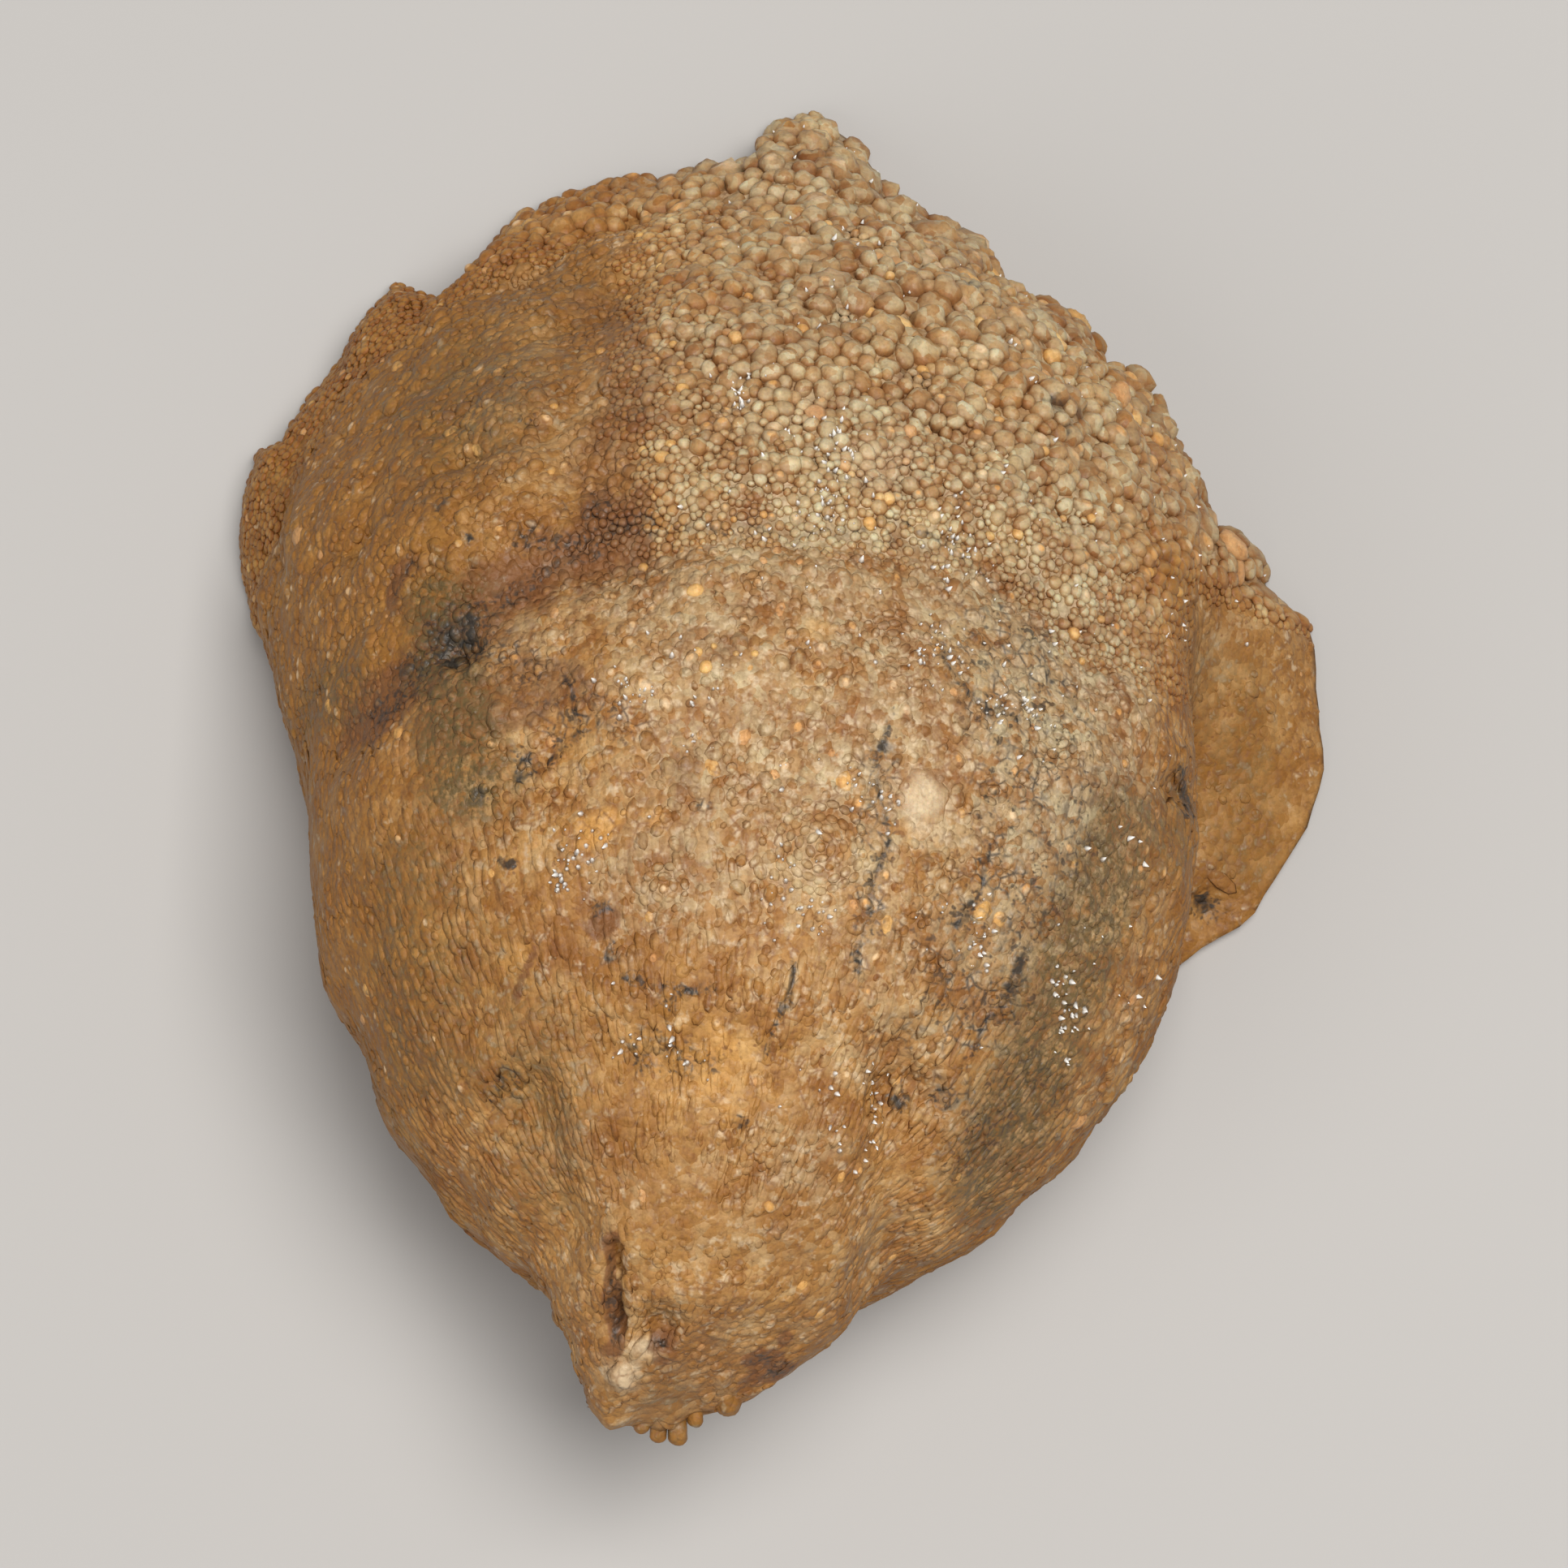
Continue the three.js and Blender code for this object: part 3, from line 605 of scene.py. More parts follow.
def wall_sites(rows, columns):
    """Sites at rows and columns of the wall."""
    points, normals, onward, flow = (
        on_wall(table, rows, columns) for table in (wall_points, wall_normals, wall_onward, wall_flow)
    )
    flow[:, 0] = rib_number(columns / len(WALL_ANGLES))
    return Sites(points, normals, onward, rows / ROWS_PER_STAGE, flow)


def all_sites(groups):
    """Several lists of sites in one."""
    return Sites(*(np.concatenate(parts) for parts in zip(*(group.parts() for group in groups))))


def scattered_sites(tries, zone):
    """Random places where a zone table allows them, so many tries for each square millimetre."""
    weights = (wall_areas * zone[:-1]).ravel()
    count = int(tries * weights.sum())
    cells = random.choice(len(weights), count, p=weights / weights.sum())
    rows, columns = np.divmod(cells, len(WALL_ANGLES))
    return wall_sites(rows + random.random(count), columns + random.random(count))


def upper_sites(places):
    """The places on the upper side that lie at each (x, y) in plan."""
    upper = wall_normals[..., 2] > 0.15
    points, normals, onward = wall_points[upper], wall_normals[upper], wall_onward[upper]
    stages, flow = wall_growth[upper], wall_flow[upper]
    places = np.array(places, float)
    nearest = np.array([np.argmin((points[:, 0] - x) ** 2 + (points[:, 1] - y) ** 2) for x, y in places])
    found, facing = points[nearest].copy(), normals[nearest]
    shift = places - found[:, :2]
    found[:, :2] = places
    found[:, 2] -= np.sum(shift * facing[:, :2], axis=1) / facing[:, 2]
    return Sites(found, facing, onward[nearest], stages[nearest], flow[nearest])


# ---- Packing: new growth keeps its distance from what is already there ----------------------------

class Crowd:
    """What has been placed so far, in layers of about one size."""

    def __init__(self):
        self.layers = []

    def add(self, points, radii):
        tree = KDTree(len(points))
        for number, point in enumerate(points.tolist()):
            tree.insert(point, number)
        tree.balance()
        self.layers.append((tree, radii))

    def free(self, points, radii, gap):
        """Which of the points keep their distance from every earlier layer."""
        room = np.ones(len(points), bool)
        for tree, reaches in self.layers:
            for number in np.nonzero(room)[0]:
                _, other, distance = tree.find(points[number])
                room[number] = distance >= gap * (reaches[other] + radii[number])
        return room

    def pack(self, sites, radii, gap):
        """Numbers of the sites that find room, taken in turn. They become a new layer."""
        room = np.nonzero(self.free(sites.points, radii, gap))[0]
        cell = 2 * gap * radii.max()
        cells, chosen = {}, []
        for number in room.tolist():
            x, y, z = sites.points[number].tolist()
            home = (int(x // cell), int(y // cell), int(z // cell))
            near = [
                other for i in (-1, 0, 1) for j in (-1, 0, 1) for k in (-1, 0, 1)
                for other in cells.get((home[0] + i, home[1] + j, home[2] + k), ())
            ]
            if all(
                (x - ox) ** 2 + (y - oy) ** 2 + (z - oz) ** 2 >= (gap * (reach + radii[number])) ** 2
                for ox, oy, oz, reach in near
            ):
                cells.setdefault(home, []).append((x, y, z, radii[number]))
                chosen.append(number)
        chosen = np.array(chosen, int)
        if len(chosen):
            self.add(sites.points[chosen], radii[chosen])
        return chosen


# ---- Stains and tones -----------------------------------------------------------------------------

def stain(table, points, wander):
    """Strength from 0 to 1 of a table of stains, whose edges wander."""
    strongest = np.zeros(points.shape[:-1])
    for line, width, strength in table:
        ends, flat = np.array(line, float), points[..., :2]
        near = np.all((flat > ends.min(0) - 2.5 * width) & (flat < ends.max(0) + 2.5 * width), axis=-1)
        distance = plan_distance(line, points[near]) * np.clip(1 + 0.45 * wander[near], 0.5, 2)
        here = strength * (1 - smooth(distance, 0.25 * width, 1.2 * width))
        strongest[near] = np.maximum(strongest[near], here)
    return strongest


def greyness(points, broad):
    """How grey the stone is. It is brown on the flanks, and greyest in the middle and among the beads."""
    x, y = points[..., 0], points[..., 1]
    behind = y - line_height(GROWTH_LINE, x)
    flank = np.maximum(smooth(-x, *LEFT_FLANK), 0.75 * smooth(x, *RIGHT_FLANK) * (1 - smooth(y, 0, 4)))
    away = np.hypot((x - MIDDLE[0]) / MIDDLE_REACH[0], (y - MIDDLE[1]) / MIDDLE_REACH[1])
    grey = (GREY_BACK - GREY_TIP * smooth(-y, *TIP_Y)) * (1 - flank)
    grey = grey + GREY_MIDDLE * (1 - smooth(away, *MIDDLE_EDGE))
    grey = grey - GREY_LEFT * smooth(behind, -2, 1) * (1 - smooth(x, -8, -4))
    grey = grey + GREY_BEADS * smooth(behind, -3, 3) * smooth(x, -8, -1) * (1 - flank)
    return np.clip(grey + 0.1 * broad, 0, 1)


def shades(points, facing):
    """The colour attributes of points: stains (soot, rust, ochre) and tones (grey, grime, cream)."""
    edge, broad = layered(points, STAIN_EDGE), layered(points, BROAD_TONES)
    bends = np.stack([noise(points, 1.2), noise(points[..., ::-1], 1.2), 0 * points[..., 0]], -1)
    bent = points + STAIN_WANDER * bends
    upper = smooth(facing, *UPPER)
    soot, rust, ochre, cream = (stain(table, bent, edge) * upper for table in (SOOT, RUST, OCHRE, PALE))
    flank = 1 - smooth(facing, 0.1, 0.6)
    grime = np.maximum(stain(GRIME, points, broad) * upper, flank * (FLANK_GRIME + 0.15 * broad))
    grey = greyness(points, broad) * upper
    return np.stack([soot, rust, ochre], -1), np.stack([grey, np.clip(grime, 0, 1), cream], -1)


# ---- Making meshes --------------------------------------------------------------------------------

SKIRT = 0.4  # how far the edge of a bead is drawn down into the skin
DENTS = ((0.33, 1), (0.8, 0.7))  # noises that dent the copies, as (size, strength)
TOUCHING = 0.1  # beads this close to each other still shade each other
FAR = 9.0  # a distance that leaves no shade
BATCH = 20000  # pairs of copies worked on at a time

def to_frame(points):
    return (points + CALICE_MIDDLE) * MM


def paint(mesh, stains, tones, rise, tint, openness, flow):
    """Stores the colour attributes: stain, tone, flow, and growth, whose red is the height on a bead,
    whose green is the bead's own tint and whose blue is 0 down in the crevices. The red and the blue
    set painted shade, towards a bead's base and in the crevices."""
    growth = np.stack([rise, tint, openness], -1)
    for name, values in (("stain", stains), ("tone", tones), ("growth", growth), ("flow", flow)):
        layer = mesh.color_attributes.new(name, "FLOAT_COLOR", "POINT")
        layer.data.foreach_set("color", np.concatenate([values, np.ones((len(values), 1))], -1).ravel())


def shown(name, data):
    """A new object of the scene, from its mesh, light or camera."""
    piece = bpy.data.objects.new(name, data)
    bpy.context.scene.collection.objects.link(piece)
    return piece


def mesh_of(name, shape):
    """A mesh made from a shape, which is then freed."""
    mesh = bpy.data.meshes.new(name)
    shape.to_mesh(mesh)
    shape.free()
    return mesh


def add_piece(name, mesh, material):
    """A piece of the coral that shows a mesh."""
    piece = shown(name, mesh)
    mesh.materials.append(material)
    mesh.shade_smooth()
    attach(piece, "root")
    return piece


def dome(segments, rings, skirt=SKIRT):
    """A closed half ball of radius 1 whose edge is drawn down by the skirt."""
    shape = bmesh.new()
    bmesh.ops.create_uvsphere(shape, u_segments=segments, v_segments=2 * rings, radius=1)
    everything = shape.verts[:] + shape.edges[:] + shape.faces[:]
    bmesh.ops.bisect_plane(
        shape, geom=everything, dist=1e-5, plane_co=(0, 0, 0), plane_no=(0, 0, -1), clear_outer=True
    )
    edge = [vertex for vertex in shape.verts if vertex.co.z < 1e-4]
    bmesh.ops.holes_fill(shape, edges=[side for side in shape.edges if side.is_boundary])
    bmesh.ops.translate(shape, verts=edge, vec=(0, 0, -skirt))
    bmesh.ops.recalc_face_normals(shape, faces=shape.faces[:])
    return shape


def quartz_point():
    """A stubby crystal: a six-sided cone on a short prism."""
    shape = bmesh.new()
    bmesh.ops.create_cone(shape, cap_ends=True, segments=6, radius1=1, radius2=0.05, depth=1.6)
    bmesh.ops.recalc_face_normals(shape, faces=shape.faces[:])
    return shape


def shape_arrays(shape):
    """Points and faces of a small shape, which is then freed. The faces are in the same order, and caps
    with many corners start at the same one, every time."""
    shape.verts.ensure_lookup_table()
    points = np.array([vertex.co[:] for vertex in shape.verts])
    faces = [[vertex.index for vertex in face.verts] for face in shape.faces]
    shape.free()
    starts = [face.index(min(face)) if len(face) > 4 else 0 for face in faces]
    return points, sorted(face[start:] + face[:start] for face, start in zip(faces, starts))


def turned_frames(sites, lengths, turns):
    """Axes along and across the growth and outwards, turned round the normal, with their lengths."""
    across = np.cross(sites.normals, sites.onward)
    cosine, sine = np.cos(turns)[:, None], np.sin(turns)[:, None]
    first = sites.onward * cosine + across * sine
    second = across * cosine - sites.onward * sine
    return np.stack([first, second, sites.normals], 1) * lengths[..., None]


class Growth:
    """Copies of one small shape. frames holds each copy's three axes with their lengths, and sink is the
    share of its height that is hidden in the skin."""

    def __init__(self, name, shape, middles, frames, tints, sink, material, rough=0.1, sites=None):
        self.name, self.material, self.sites = name, material, sites
        self.points, self.faces = shape_arrays(shape)
        self.middles, self.frames, self.tints, self.sink = middles, frames, tints, sink
        self.lengths = np.linalg.norm(frames, axis=-1)
        around = np.einsum("vk,nkc->nvc", self.points, frames)
        placed = middles[:, None] + around
        size = self.lengths.min(axis=1)[:, None]
        placed = placed + unit(around) * (rough * size * layered(placed, DENTS))[..., None]
        placed[..., 2] = np.maximum(placed[..., 2], 0)
        self.placed = placed
        self.clearance = np.full(placed.shape[:2], FAR)

    def __len__(self):
        return len(self.middles)


def grown(name, shape, sites, lengths, turns, tints, sink, material, rough=0.1):
    """Copies of a shape that stand on the skin at the sites."""
    frames = turned_frames(sites, lengths, turns)
    middles = sites.points - sites.normals * (sink * lengths[:, 2])[:, None]
    return Growth(name, shape, middles, frames, tints, sink, material, rough, sites)


def flow_of(growth):
    """The flow of growth at every point of the copies: how far along and across the ribs it lies, and
    how clearly the ribs show there."""
    if growth.sites is None:
        return np.zeros((growth.placed.shape[0] * growth.placed.shape[1], 3))
    sites = growth.sites
    away = growth.placed - sites.points[:, None]
    across = np.cross(sites.normals, sites.onward)
    ribs = sites.flow[:, :1] + np.einsum("nvc,nc->nv", away, across) / sites.flow[:, 2:]
    travelled = sites.flow[:, 1:2] + np.einsum("nvc,nc->nv", away, sites.onward)
    return np.stack([ribs, travelled, ribbing(growth.placed, sites.stages[:, None])], -1).reshape(-1, 3)


def ribbing(points, stages):
    """How clearly the ribs show: in front of the growth line, and faintly on the worn parts."""
    behind = points[..., 1] - line_height(GROWTH_LINE, points[..., 0])
    return (1 - 0.8 * smooth(behind, -2, 3)) * (1 - 0.85 * calmness(points, stages))


def neighbours(growths):
    """Pairs of copies that may touch, as numbers of growth and copy for both."""
    middles = np.concatenate([growth.middles for growth in growths])
    reaches = np.concatenate([growth.lengths.max(axis=1) for growth in growths])
    owners = np.concatenate([np.full(len(growth), number) for number, growth in enumerate(growths)])
    copies = np.concatenate([np.arange(len(growth)) for growth in growths])
    tree = KDTree(len(middles))
    for number, middle in enumerate(middles.tolist()):
        tree.insert(middle, number)
    tree.balance()
    first, second = [], []
    for number, (middle, reach) in enumerate(zip(middles.tolist(), reaches.tolist())):
        for _, other, _ in tree.find_range(middle, 2 * reach + TOUCHING):
            if other != number and reaches[other] <= reach:
                first.append(number)
                second.append(other)
    pairs = np.array([first + second, second + first])
    return owners[pairs], copies[pairs]


def clear_crevices(growths):
    """Works out how far each point of each copy is from its nearest neighbour's surface, for the painted
    shade in the crevices.
    """
    owners, copies = neighbours(growths)
    for number, growth in enumerate(growths):
        for other_number, other in enumerate(growths):
            both = (owners[0] == number) & (owners[1] == other_number)
            mine, theirs = copies[0][both], copies[1][both]
            for start in range(0, len(mine), BATCH):
                a, b = mine[start:start + BATCH], theirs[start:start + BATCH]
                away = growth.placed[a] - other.middles[b][:, None]
                ratios = np.einsum("nvc,nkc->nvk", away, other.frames[b] / other.lengths[b][..., None] ** 2)
                ratio = np.linalg.norm(ratios, axis=-1) + 1e-6
                distance = np.linalg.norm(away, axis=-1) * (1 - 1 / ratio)
                np.minimum.at(growth.clearance, a, distance)


def planted(growth):
    """Makes the mesh of a growth, painted with the stains of the places where it grows."""
    count, repeat = growth.placed.shape[:2]
    sizes = np.array([len(face) for face in growth.faces])
    corners = np.concatenate(growth.faces)
    loops = (corners[None] + np.arange(count)[:, None] * repeat).ravel()
    totals = np.tile(sizes, count)
    mesh = bpy.data.meshes.new(growth.name)
    mesh.vertices.add(count * repeat)
    mesh.vertices.foreach_set("co", to_frame(growth.placed).ravel())
    mesh.loops.add(len(loops))
    mesh.loops.foreach_set("vertex_index", loops)
    mesh.polygons.add(len(totals))
    mesh.polygons.foreach_set("loop_start", np.concatenate([[0], np.cumsum(totals)[:-1]]))
    mesh.update(calc_edges=True)
    mesh.validate()
    outward = np.repeat(growth.frames[:, 2, 2] / growth.lengths[:, 2], repeat)
    stains, tones = shades(growth.placed.reshape(-1, 3), outward)
    share = np.clip((growth.points[:, 2] - growth.sink) / (1 - growth.sink), 0, 1)
    height = share[None] * ((1 - growth.sink) * growth.lengths[:, 2])[:, None]
    # Painted shade: each copy darkens towards its base and where a neighbour comes close.
    room = np.minimum(growth.clearance, height + 0.03)
    wide = 0.05 + 0.12 * growth.lengths[:, 1][:, None]
    openness = np.maximum(smooth(room / wide, 0, 1), smooth(share, 0.5, 0.8))
    rise, tints = np.tile(share, count), np.repeat(growth.tints, repeat)
    paint(mesh, stains, tones, rise, tints, openness.ravel(), flow_of(growth))
    add_piece(growth.name, mesh, growth.material)


# ---- The stone skin -------------------------------------------------------------------------------

SKIN_COLUMNS_OVER, SKIN_COLUMNS_UNDER = 230, 84
TIP_ROWS, WALL_ROWS, EDGE_ROWS, CALICE_ROWS = 13, 226, 8, 44
SKIN_SINK = 0.3  # how far the skin drops between beads, as a share of their radius
SKIN_GRAIN, GRAIN_RELIEF = ((0.75, 1), (1.7, 0.8)), 0.06  # noises as (size, strength), and their height
CROWDING = 0.85  # below 1, the rows of the skin lie closer together towards the rim
MERGE_DISTANCE = 1e-7
# The skin's openness: low where it shows only between beads, where it takes painted shade.
BARE_OPENNESS, HIDDEN_OPENNESS = 0.95, 0.35
STONE_TINT = 0.36  # the tint of plain stone, halfway between dark and pale beads


def skin_angles():
    """The columns of the skin, closer together over the crest than under the belly."""
    over = np.linspace(0, np.pi, SKIN_COLUMNS_OVER, endpoint=False)
    under = np.linspace(np.pi, 2 * np.pi, SKIN_COLUMNS_UNDER, endpoint=False)
    return np.concatenate([over, under])


def skin_wall_rows(angles):
    """Rows of the wall from tip to rim, sunk between beads and roughened."""
    stages = LAST * (np.arange(WALL_ROWS + 1) / WALL_ROWS) ** CROWDING
    base = smooth_wall(angles, stages)
    outward = grid_normals(base)
    growth = stages[:, None] + 0 * angles
    height = relief(base, growth, outward[..., 2])
    points = base + outward * height[..., None]
    fade = smooth(LAST - growth, 0, 0.3) * smooth(growth, 0, 0.4)
    rough = GRAIN_RELIEF * layered(points, SKIN_GRAIN)
    sunk = SKIN_SINK * np.minimum(bead_limit(points, growth), 0.5)
    return snapped(points + outward * (fade * rough - sunk * smooth(growth, 0, 1))[..., None])


def tip_rows(angles):
    """Rows that close the snapped tip, with a row of little fingers along its lower lip."""
    ring = section_ring(0, angles)
    middle = np.mean(section_ring(0, np.array([0, np.pi])), axis=0)
    shares = np.linspace(0, 1, TIP_ROWS, endpoint=False)
    rows = []
    for share in shares:
        row = middle + (ring - middle) * share
        row[:, 1] -= np.interp(share, *TIP_BULGE)
        row = snapped(row)
        row[:, 1] += share ** 2 * lip_notch(angles, 0)
        lip = smooth(-np.sin(angles), *LIP_SPREAD) * share * smooth(1 - share, 0, 0.12)
        row[:, 1] -= FINGER_LENGTH * lip * np.abs(np.cos(angles * FINGERS / 2)) ** FINGER_ROUNDNESS
        calm = smooth(share, 0, 0.3) * smooth(1 - share, 0, 0.2)
        row = row + BREAK_ROUGHNESS * calm * noise(row, 1.1)[:, None] * BREAK_OUTWARD
        rows.append(row)
    return np.stack(rows)


def rim_rows(angles, outer):
    """Rows of the worn edge that the coral stands on, from the outer wall to the calice."""
    degrees = np.degrees(angles)
    radius, ground = rim_radius(degrees), worn_back(degrees)
    rows = []
    for share in np.linspace(0, 1, EDGE_ROWS + 2)[1:-1]:
        inset = RIM_WALL * share
        outside = np.clip(1 - inset / RIM_ROUNDING, 0, 1)
        inside = np.clip(1 - (RIM_WALL - inset) / RIM_ROUNDING, 0, 1)
        lift = (1 - np.sqrt(1 - outside ** 2)) + (1 - np.sqrt(1 - inside ** 2))
        height = ground + (CALICE_LIP - ground) * lift
        pull = (np.hypot(outer[:, 0], outer[:, 1]) - radius) * (1 - share)
        row = polar(radius - inset + pull, angles, height)
        row[:, 2] += 0.12 * np.abs(noise(row, 0.8)) * smooth(worn_back(degrees), 0, 0.1)
        rows.append(row)
    return np.stack(rows)


def calice_rows(angles):
    """The bowl, with major and minor septa that run in to a low boss, and a gap for the fossula."""
    degrees = np.degrees(angles)
    phase = np.abs((degrees / SEPTUM_SPACING + 0.5) % 1 - 0.5)
    major = 1 - smooth(phase, *SEPTUM_EDGE)
    major = major * smooth(np.abs((degrees - FOSSULA + 180) % 360 - 180), *FOSSULA_EDGE)
    minor = 1 - smooth(0.5 - phase, *MINOR_SEPTUM_EDGE)
    rows = []
    for share in np.linspace(1, 0, CALICE_ROWS + 1):
        calm = smooth(1 - share, 0, 0.25)
        rim = rim_radius(degrees) + (calm_radius(degrees) - rim_radius(degrees)) * calm
        radius = share * (rim - RIM_WALL)
        height = CALICE_LIP + (CALICE_DEPTH - CALICE_LIP) * (1 - share ** CALICE_FLATNESS)
        boss = BOSS_HEIGHT * np.exp(-((radius / BOSS_RADIUS) ** 2))
        rise = SEPTUM_HEIGHT * major * smooth(1 - share, 0, 0.15) * smooth(share, 0, 0.6)
        rise = rise + MINOR_SEPTUM_HEIGHT * minor * smooth(1 - share, 0, 0.1) * smooth(share, 0.55, 0.8)
        row = polar(radius - SEPTUM_LEAN * rise, angles, height - boss - SEPTUM_LEAN * rise)
        wobble = smooth(1 - share, 0, 0.1) * smooth(share, 0, 0.2)
        row[:, 2] -= wobble * (layered(row, CALICE_GRAIN) + SEPTUM_GRAIN * rise * noise(row, 0.5))
        rows.append(row)
    return np.stack(rows)


def coral_skin(material):
    """The whole skin in one closed mesh: a grid wrapped round the horn and over the rim into the calice."""
    angles = skin_angles()
    walls = skin_wall_rows(angles)
    rows = np.concatenate([tip_rows(angles), walls, rim_rows(angles, walls[-1]), calice_rows(angles)])
    count, around = len(rows), len(angles)
    shape = bmesh.new()
    flow_layer = shape.verts.layers.float_color.new("flow")
    bmesh.ops.create_grid(shape, x_segments=around, y_segments=count - 1, size=1)
    across = np.array([vertex.co[:2] for vertex in shape.verts])
    column = np.rint((across[:, 0] + 1) / 2 * around).astype(int)
    row = np.rint((across[:, 1] + 1) / 2 * (count - 1)).astype(int)
    placed = to_frame(rows[row, column % around])
    flow = skin_flow(angles, rows)[row, column % around].tolist()
    for vertex, place, stream in zip(shape.verts, placed, flow):
        vertex.co = place
        vertex[flow_layer] = (*stream, 1)
    bmesh.ops.remove_doubles(shape, verts=shape.verts[:], dist=MERGE_DISTANCE)
    bmesh.ops.recalc_face_normals(shape, faces=shape.faces[:])
    mesh = mesh_of("coral_skin", shape)
    paint_skin(mesh)
    skin = add_piece("coral_skin", mesh, material)
    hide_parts(NODE)


def skin_flow(angles, rows):
    """The flow of growth over the skin, as flow_of gives it for what grows there."""
    steps = np.linalg.norm(np.diff(rows, axis=0), axis=-1)
    travelled = np.concatenate([np.zeros((1, len(angles))), np.cumsum(steps, axis=0)])
    ribs = rib_number(angles / (2 * np.pi)) + 0 * travelled
    stages = np.linspace(0, LAST, len(rows))[:, None] + 0 * travelled
    return np.stack([ribs, travelled, ribbing(rows, stages)], -1)


def paint_skin(mesh):
    """Stains of the skin, and painted shade where it shows only between beads."""
    flat = np.empty(len(mesh.vertices) * 3)
    mesh.vertices.foreach_get("co", flat)
    points = flat.reshape(-1, 3) / MM - CALICE_MIDDLE
    mesh.vertices.foreach_get("normal", flat)
    facing = flat.reshape(-1, 3)[:, 2]
    stains, tones = shades(points, facing)
    turn = np.degrees(np.arctan2(points[:, 1], points[:, 0]))
    inner = (np.hypot(points[:, 0], points[:, 1]) < calm_radius(turn) - 1) & (points[:, 2] < CALICE_DEPTH + 1)
    hidden = bead_limit(points, np.full(len(points), LAST / 2)) > BEADED
    bare = inner & (facing < 0.05) | on_break(points) | (points[:, 2] < GROUND_GAP) | ~hidden
    openness = np.where(bare, BARE_OPENNESS, HIDDEN_OPENNESS) + 0.2 * noise(points, 0.6)
    tint = STONE_TINT + 0.12 * noise(points, 1.3)
    flow = np.empty(len(points) * 4)
    mesh.color_attributes["flow"].data.foreach_get("color", flow)
    mesh.color_attributes.remove(mesh.color_attributes["flow"])
    flow = flow.reshape(-1, 4)[:, :3]
    paint(mesh, stains, tones, np.full(len(points), 0.5), tint, np.clip(openness, 0, 1), flow)


# ---- Beads, granules and ribs ---------------------------------------------------------------------

# Tints of a bead: up to PALE_TINT a shade of the stone, and beyond it a colour of its own.
PALE_TINT, AMBER_TINT, PEACH_TINT, EYE_TINT = 0.7, 0.8, 0.9, 1.0
RARE_TINTS = ((PALE_TINT, 0.06), (PEACH_TINT, 0.018), (AMBER_TINT, 0.009))  # as (tint, share of beads)
EYED_FROM, EYED_RADIUS = 0.9, 0.25  # beads with a bright core: above which lot, and from what radius
# Random sizes as (least, how much more at most), as shares of the plain size.
BEAD_SPREAD, GRANULE_SPREAD = (0.8, 0.35), (0.85, 0.3)
BEAD_FLATNESS = ((0.25, 0.4, 0.9), (0.75, 0.95, 0.8))  # radii, and height for each as a share of radius
# Groups of growth as (name, segments, rings, least and greatest measure, sink). The measure is the radius
# of beads and granules, and how far up the skin faces under grains.
BEAD_GROUPS = (
    ("large_beads", 14, 6, 0.55, 9, 0.4), ("beads", 12, 5, 0.36, 0.55, 0.42),
    ("small_beads", 10, 4, 0.27, 0.36, 0.5), ("tiny_beads", 8, 3, 0, 0.27, 0.55),
)
GRANULE_GROUPS = (("granules", 10, 4, 0.25, 9, 0.55), ("fine_granules", 8, 3, 0, 0.25, 0.55))
GRAIN_GROUPS = (("rib_grains", 8, 3, 0.1, 9, 0.55), ("belly_rib_grains", 8, 3, -9, 0.1, 0.55))


def varied(least, more, count):
    """Random numbers of at least the first, by up to so much more."""
    return least + more * random.random(count)


def jitter(reach, count):
    """Random numbers round 0, over so much in all."""
    return reach * (random.random(count) - 0.5)


def bead_tints(radii):
    """A tint for each bead: most are shades of the stone, a few amber or peach or with a bright core."""
    count = len(radii)
    tints = np.clip(STONE_TINT + 0.13 * random.standard_normal(count), 0.02, PALE_TINT)
    lot = random.random(count)
    for tint, share in RARE_TINTS:
        tints[lot < share] = tint
    tints[(lot > EYED_FROM) & (radii > EYED_RADIUS)] = EYE_TINT
    return tints


def bead_lengths(radii):
    """Lengths along, across and outwards of beads that aren't quite round."""
    return radii[:, None] * (1 + jitter(0.2, (len(radii), 3)))


def any_turns(count):
    """Random turns about the way out."""
    return 2 * math.pi * random.random(count)


def packed(crowd, classes, zone_of, spread, gap):
    """Sites and radii for classes of size, the largest first and the small ones in the gaps."""
    found, radii = [], []
    for radius, tries in classes:
        sites = scattered_sites(tries, zone_of(radius))
        own = radius * varied(*spread, len(sites))
        chosen = crowd.pack(sites, own, gap)
        found.append(sites.keep(chosen))
        radii.append(own[chosen])
    return all_sites(found), np.concatenate(radii)


def parted(groups, measure, sites, lengths, turns, tints, material, rough):
    """A growth for each group, of the sites whose measure lies in it."""
    growths = []
    for name, segments, rings, least, most, sink in groups:
        own = (measure > least) & (measure <= most)
        placed = sites.keep(own), lengths[own], turns[own], tints[own]
        growths.append(grown(name, dome(segments, rings), *placed, sink, material, rough))
    return growths


def amber_growth(crowd, material):
    """The bright amber beads have places of their own, so they come first."""
    sites = upper_sites([bead[:2] for bead in AMBER_BEADS])
    radii = np.array([bead[2] for bead in AMBER_BEADS])
    crowd.add(sites.points, radii)
    lengths, turns = bead_lengths(radii), any_turns(len(sites))
    tints = np.full(len(sites), AMBER_TINT)
    return grown("amber_beads", dome(12, 5, 0.35), sites, lengths, turns, tints, 0.4, material)


def nodule_growth(crowd, material):
    """Low smooth nodules. Granules may creep up their sides."""
    sites = upper_sites([nodule[:2] for nodule in NODULES])
    sites.onward = unit(np.cross(np.array([1.0, 0, 0]), sites.normals))
    lengths = np.array([(along, across, height) for _, _, across, along, height in NODULES])
    crowd.add(sites.points, NODULE_CLEAR * lengths[:, 1])
    tints, turns = np.full(len(sites), PALE_TINT), np.full(len(sites), NODULE_TURN)
    return grown("nodules", dome(24, 8), sites, lengths, turns, tints, 0.2, material, 0.9)


